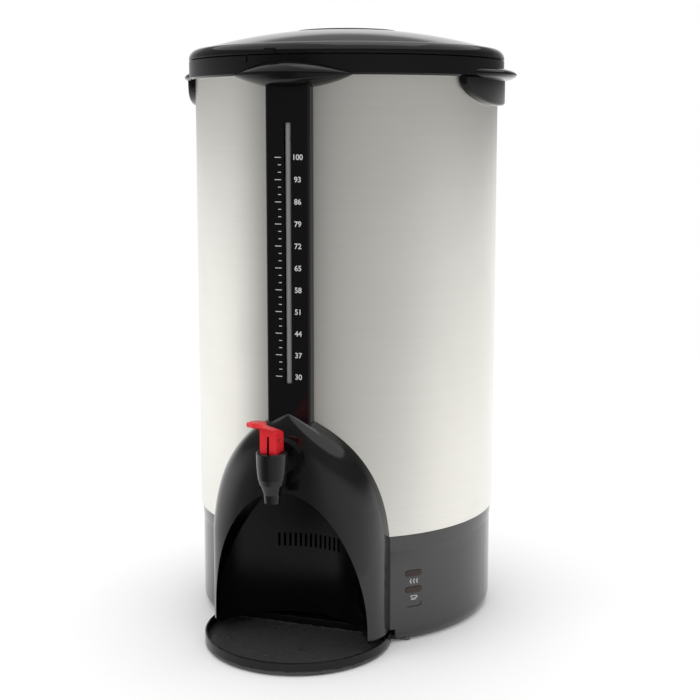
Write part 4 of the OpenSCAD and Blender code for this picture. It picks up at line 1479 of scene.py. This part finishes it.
@dataclass(frozen=True)
class Glow:
    """The grey surround's brightness at equal steps round: from the far side, to the left, past the
    camera's side and back."""

    near: tuple[float, ...] = (
        1.0, 1.0, 1.0, 1.1, 1.15, 1.15, 1.1, 0.8, 0.35, 0.16, 0.15, 0.35, 0.55, 0.70, 0.85, 1.0, 1.15, 1.2,
        1.2, 1.2, 1.2, 1.2, 1.1, 1.0, 1.0)
    floor: tuple[float, ...] = (
        1.2, 1.2, 1.2, 1.25, 1.25, 1.25, 1.25, 0.95, 0.35, 0.14, 0.14, 0.45, 0.54, 0.62, 0.70, 0.84, 0.98,
        1.08, 1.12, 1.15, 1.15, 1.2, 1.25, 1.25, 1.2)
    foot: tuple[float, ...] = (
        1.15, 1.15, 1.12, 1.15, 1.20, 1.20, 1.15, 0.85, 0.35, 0.14, 0.14, 0.42, 0.52, 0.58, 0.64, 0.72,
        0.84, 0.94, 0.98, 1.0, 1.02, 1.08, 1.15, 1.15, 1.15)
    middle: tuple[float, ...] = (
        0.95, 0.95, 0.92, 0.90, 0.86, 0.84, 0.82, 0.62, 0.30, 0.14, 0.14, 0.40, 0.49, 0.53, 0.56, 0.60,
        0.63, 0.64, 0.64, 0.64, 0.66, 0.74, 0.85, 0.95, 0.95)
    level: tuple[float, ...] = (
        0.40, 0.40, 0.42, 0.46, 0.50, 0.54, 0.54, 0.46, 0.26, 0.14, 0.14, 0.34, 0.38, 0.42, 0.44, 0.42,
        0.38, 0.32, 0.26, 0.22, 0.18, 0.16, 0.16, 0.25, 0.40)
    bright: tuple[float, ...] = (
        0.95, 0.90, 0.45, 0.24, 0.22, 0.22, 0.22, 0.20, 0.18, 0.14, 0.14, 0.20, 0.22, 0.24, 0.24, 0.22,
        0.20, 0.18, 0.16, 0.14, 0.14, 0.16, 0.40, 0.90, 0.95)
    dim: tuple[float, ...] = (
        0.30, 0.30, 0.28, 0.26, 0.24, 0.24, 0.24, 0.22, 0.20, 0.18, 0.18, 0.20, 0.22, 0.22, 0.22, 0.22,
        0.22, 0.20, 0.20, 0.20, 0.20, 0.22, 0.26, 0.30, 0.30)
    white: tuple[float, ...] = (1.0,) * 13

    def rows(self) -> list[tuple[float, float, tuple[float, ...]]]:
        """Gives each ring's radius, height and brightness, in metres, from the floor up to the top."""
        return [(0.34, 0.002, self.near), (0.9, 0.002, self.floor), (1.6, 0.002, self.foot),
                (2.2, 0.002, self.foot), (2.2, 0.12, self.foot), (2.2, 0.35, self.middle),
                (2.2, 0.55, self.level), (2.2, 0.75, self.bright), (2.2, 1.25, self.bright),
                (2.2, 1.42, self.dim), (2.2, 1.78, self.dim), (2.19, 1.80, self.white),
                (1.2, 2.9, self.white), (0.02, 3.0, self.white)]


@dataclass
class Studio:
    """The camera, the floor, the soft lights and the grey surround that only glossy surfaces see."""

    lens: float = 66.55
    stand: Point = (0.3968, -1.1145, 0.434)
    azimuth: float = 19.6
    pitch: float = 7.48
    shift: tuple[float, float] = (0.0049, -0.0714)
    floor_r: float = 14.0
    floor_tone: Colour = (0.94, 0.94, 0.94)
    fade_r: tuple[float, float] = (0.35, 1.5)
    surround_steps: int = 72
    lamps: tuple[Lamp, ...] = (
        Lamp("key_lamp", (-1.5, -1.4, 2.4), (0.0, 0.0, 0.25), (1.2, 1.2), 9.0),
        Lamp("rim_lamp", (-0.74, 2.07, 1.98), (0.0, 0.0, 0.5), (2.2, 0.14), 7.0),
        Lamp("top_lamp", (0.3, 0.2, 2.6), (0.0, 0.0, 0.3), (1.6, 1.6), 9.0),
    )

    def camera(self) -> None:
        """Sets the camera where the photograph was taken."""
        data = bpy.data.cameras.new("camera")
        data.lens = self.lens
        data.sensor_width = 36.0
        data.shift_x, data.shift_y = self.shift
        data.clip_start = 0.05
        camera = link("camera", data)
        camera.location = self.stand
        camera.rotation_euler = (math.radians(90.0 - self.pitch), 0.0, math.radians(self.azimuth))
        bpy.context.scene.camera = camera

    def paper(self) -> None:
        """Lays the white floor, which turns into the white background with distance."""
        bpy.ops.mesh.primitive_circle_add(vertices=96, radius=self.floor_r, fill_type="NGON",
                                          location=(0, 0, 0))
        floor = bpy.context.object
        floor.name = "floor"
        material, bench = blank_material("white_floor")
        shader = bench.add("ShaderNodeBsdfPrincipled", Base_Color=rgba(self.floor_tone), Roughness=0.9,
                           Specular_IOR_Level=0.0)
        far = bench.add("ShaderNodeEmission", Color=(1.0, 1.0, 1.0, 1.0), Strength=1.0)
        position = bench.add("ShaderNodeNewGeometry").outputs["Position"]
        x, y, _ = bench.add("ShaderNodeSeparateXYZ", Vector=position).outputs
        mixed = bench.add("ShaderNodeMixShader")
        shares = (bench.span(bench.radius(x, y), *self.fade_r), shader.outputs[0], far.outputs[0])
        for i, value in enumerate(shares):
            bench.put(mixed, i, value)
        bench.add("ShaderNodeOutputMaterial", Surface=mixed.outputs[0])
        floor.data.materials.append(material)

    def surround(self) -> None:
        """Sets a bowl-shaped grey surround, which only glossy surfaces see."""
        steps, rows = self.surround_steps, Glow().rows()
        points, values = [], []
        for radius, z, glow in rows:
            for i in range(steps):
                turn = math.radians(self.azimuth - 270.0 + 360.0 * i / steps)
                where = i / steps * (len(glow) - 1)
                k = int(where)
                points.append((radius * math.cos(turn), radius * math.sin(turn), z))
                values.append(glow[k] + (glow[k + 1] - glow[k]) * (where - k))
        faces = [(r * steps + i, r * steps + (i + 1) % steps, (r + 1) * steps + (i + 1) % steps,
                  (r + 1) * steps + i) for r in range(len(rows) - 1) for i in range(steps)]
        mesh = bpy.data.meshes.new("grey_surround")
        mesh.from_pydata(points, [], faces)
        layer = mesh.color_attributes.new("glow", "FLOAT_COLOR", "POINT")
        for i, value in enumerate(values):
            layer.data[i].color = (value, value, value, 1.0)
        card = link("grey_surround", mesh)
        card.visible_camera = False
        card.visible_diffuse = False
        card.visible_shadow = False
        material, bench = blank_material("grey_surround")
        tone = bench.add("ShaderNodeVertexColor", layer_name="glow").outputs["Color"]
        light = bench.add("ShaderNodeEmission", Color=tone, Strength=1.0)
        bench.add("ShaderNodeOutputMaterial", Surface=light.outputs[0])
        card.data.materials.append(material)

    def world(self) -> None:
        """Sets the white surround; glossy surfaces see the grey one in its place."""
        world = bpy.data.worlds.new("white_surround")
        world.use_nodes = True
        bench = Bench(world.node_tree)
        back = bench.add("ShaderNodeBackground", Color=(1.0, 1.0, 1.0, 1.0), Strength=1.0)
        bench.add("ShaderNodeOutputWorld", Surface=back.outputs[0])
        world.cycles_visibility.glossy = False
        bpy.context.scene.world = world

    def build(self) -> None:
        """Builds the whole studio."""
        bpy.context.scene.view_settings.view_transform = "Standard"
        self.world()
        self.paper()
        self.surround()
        for lamp in self.lamps:
            lamp.hang()


# ---------- the urn ----------


def main() -> None:
    """Loads the frame, dresses every sub-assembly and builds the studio."""
    logging.basicConfig(level=logging.INFO, format="%(message)s")
    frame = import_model()
    studio = Studio()
    studio.camera()
    nodes = frame["nodes"]
    for kind in (Tank, Base, HoodAndBay, Tap, Gauge, Rim, Lid, Percolator):
        kind(nodes).build()
        LOG.info("%s is dressed", kind.__name__)
    studio.build()


if __name__ == "__main__":
    main()
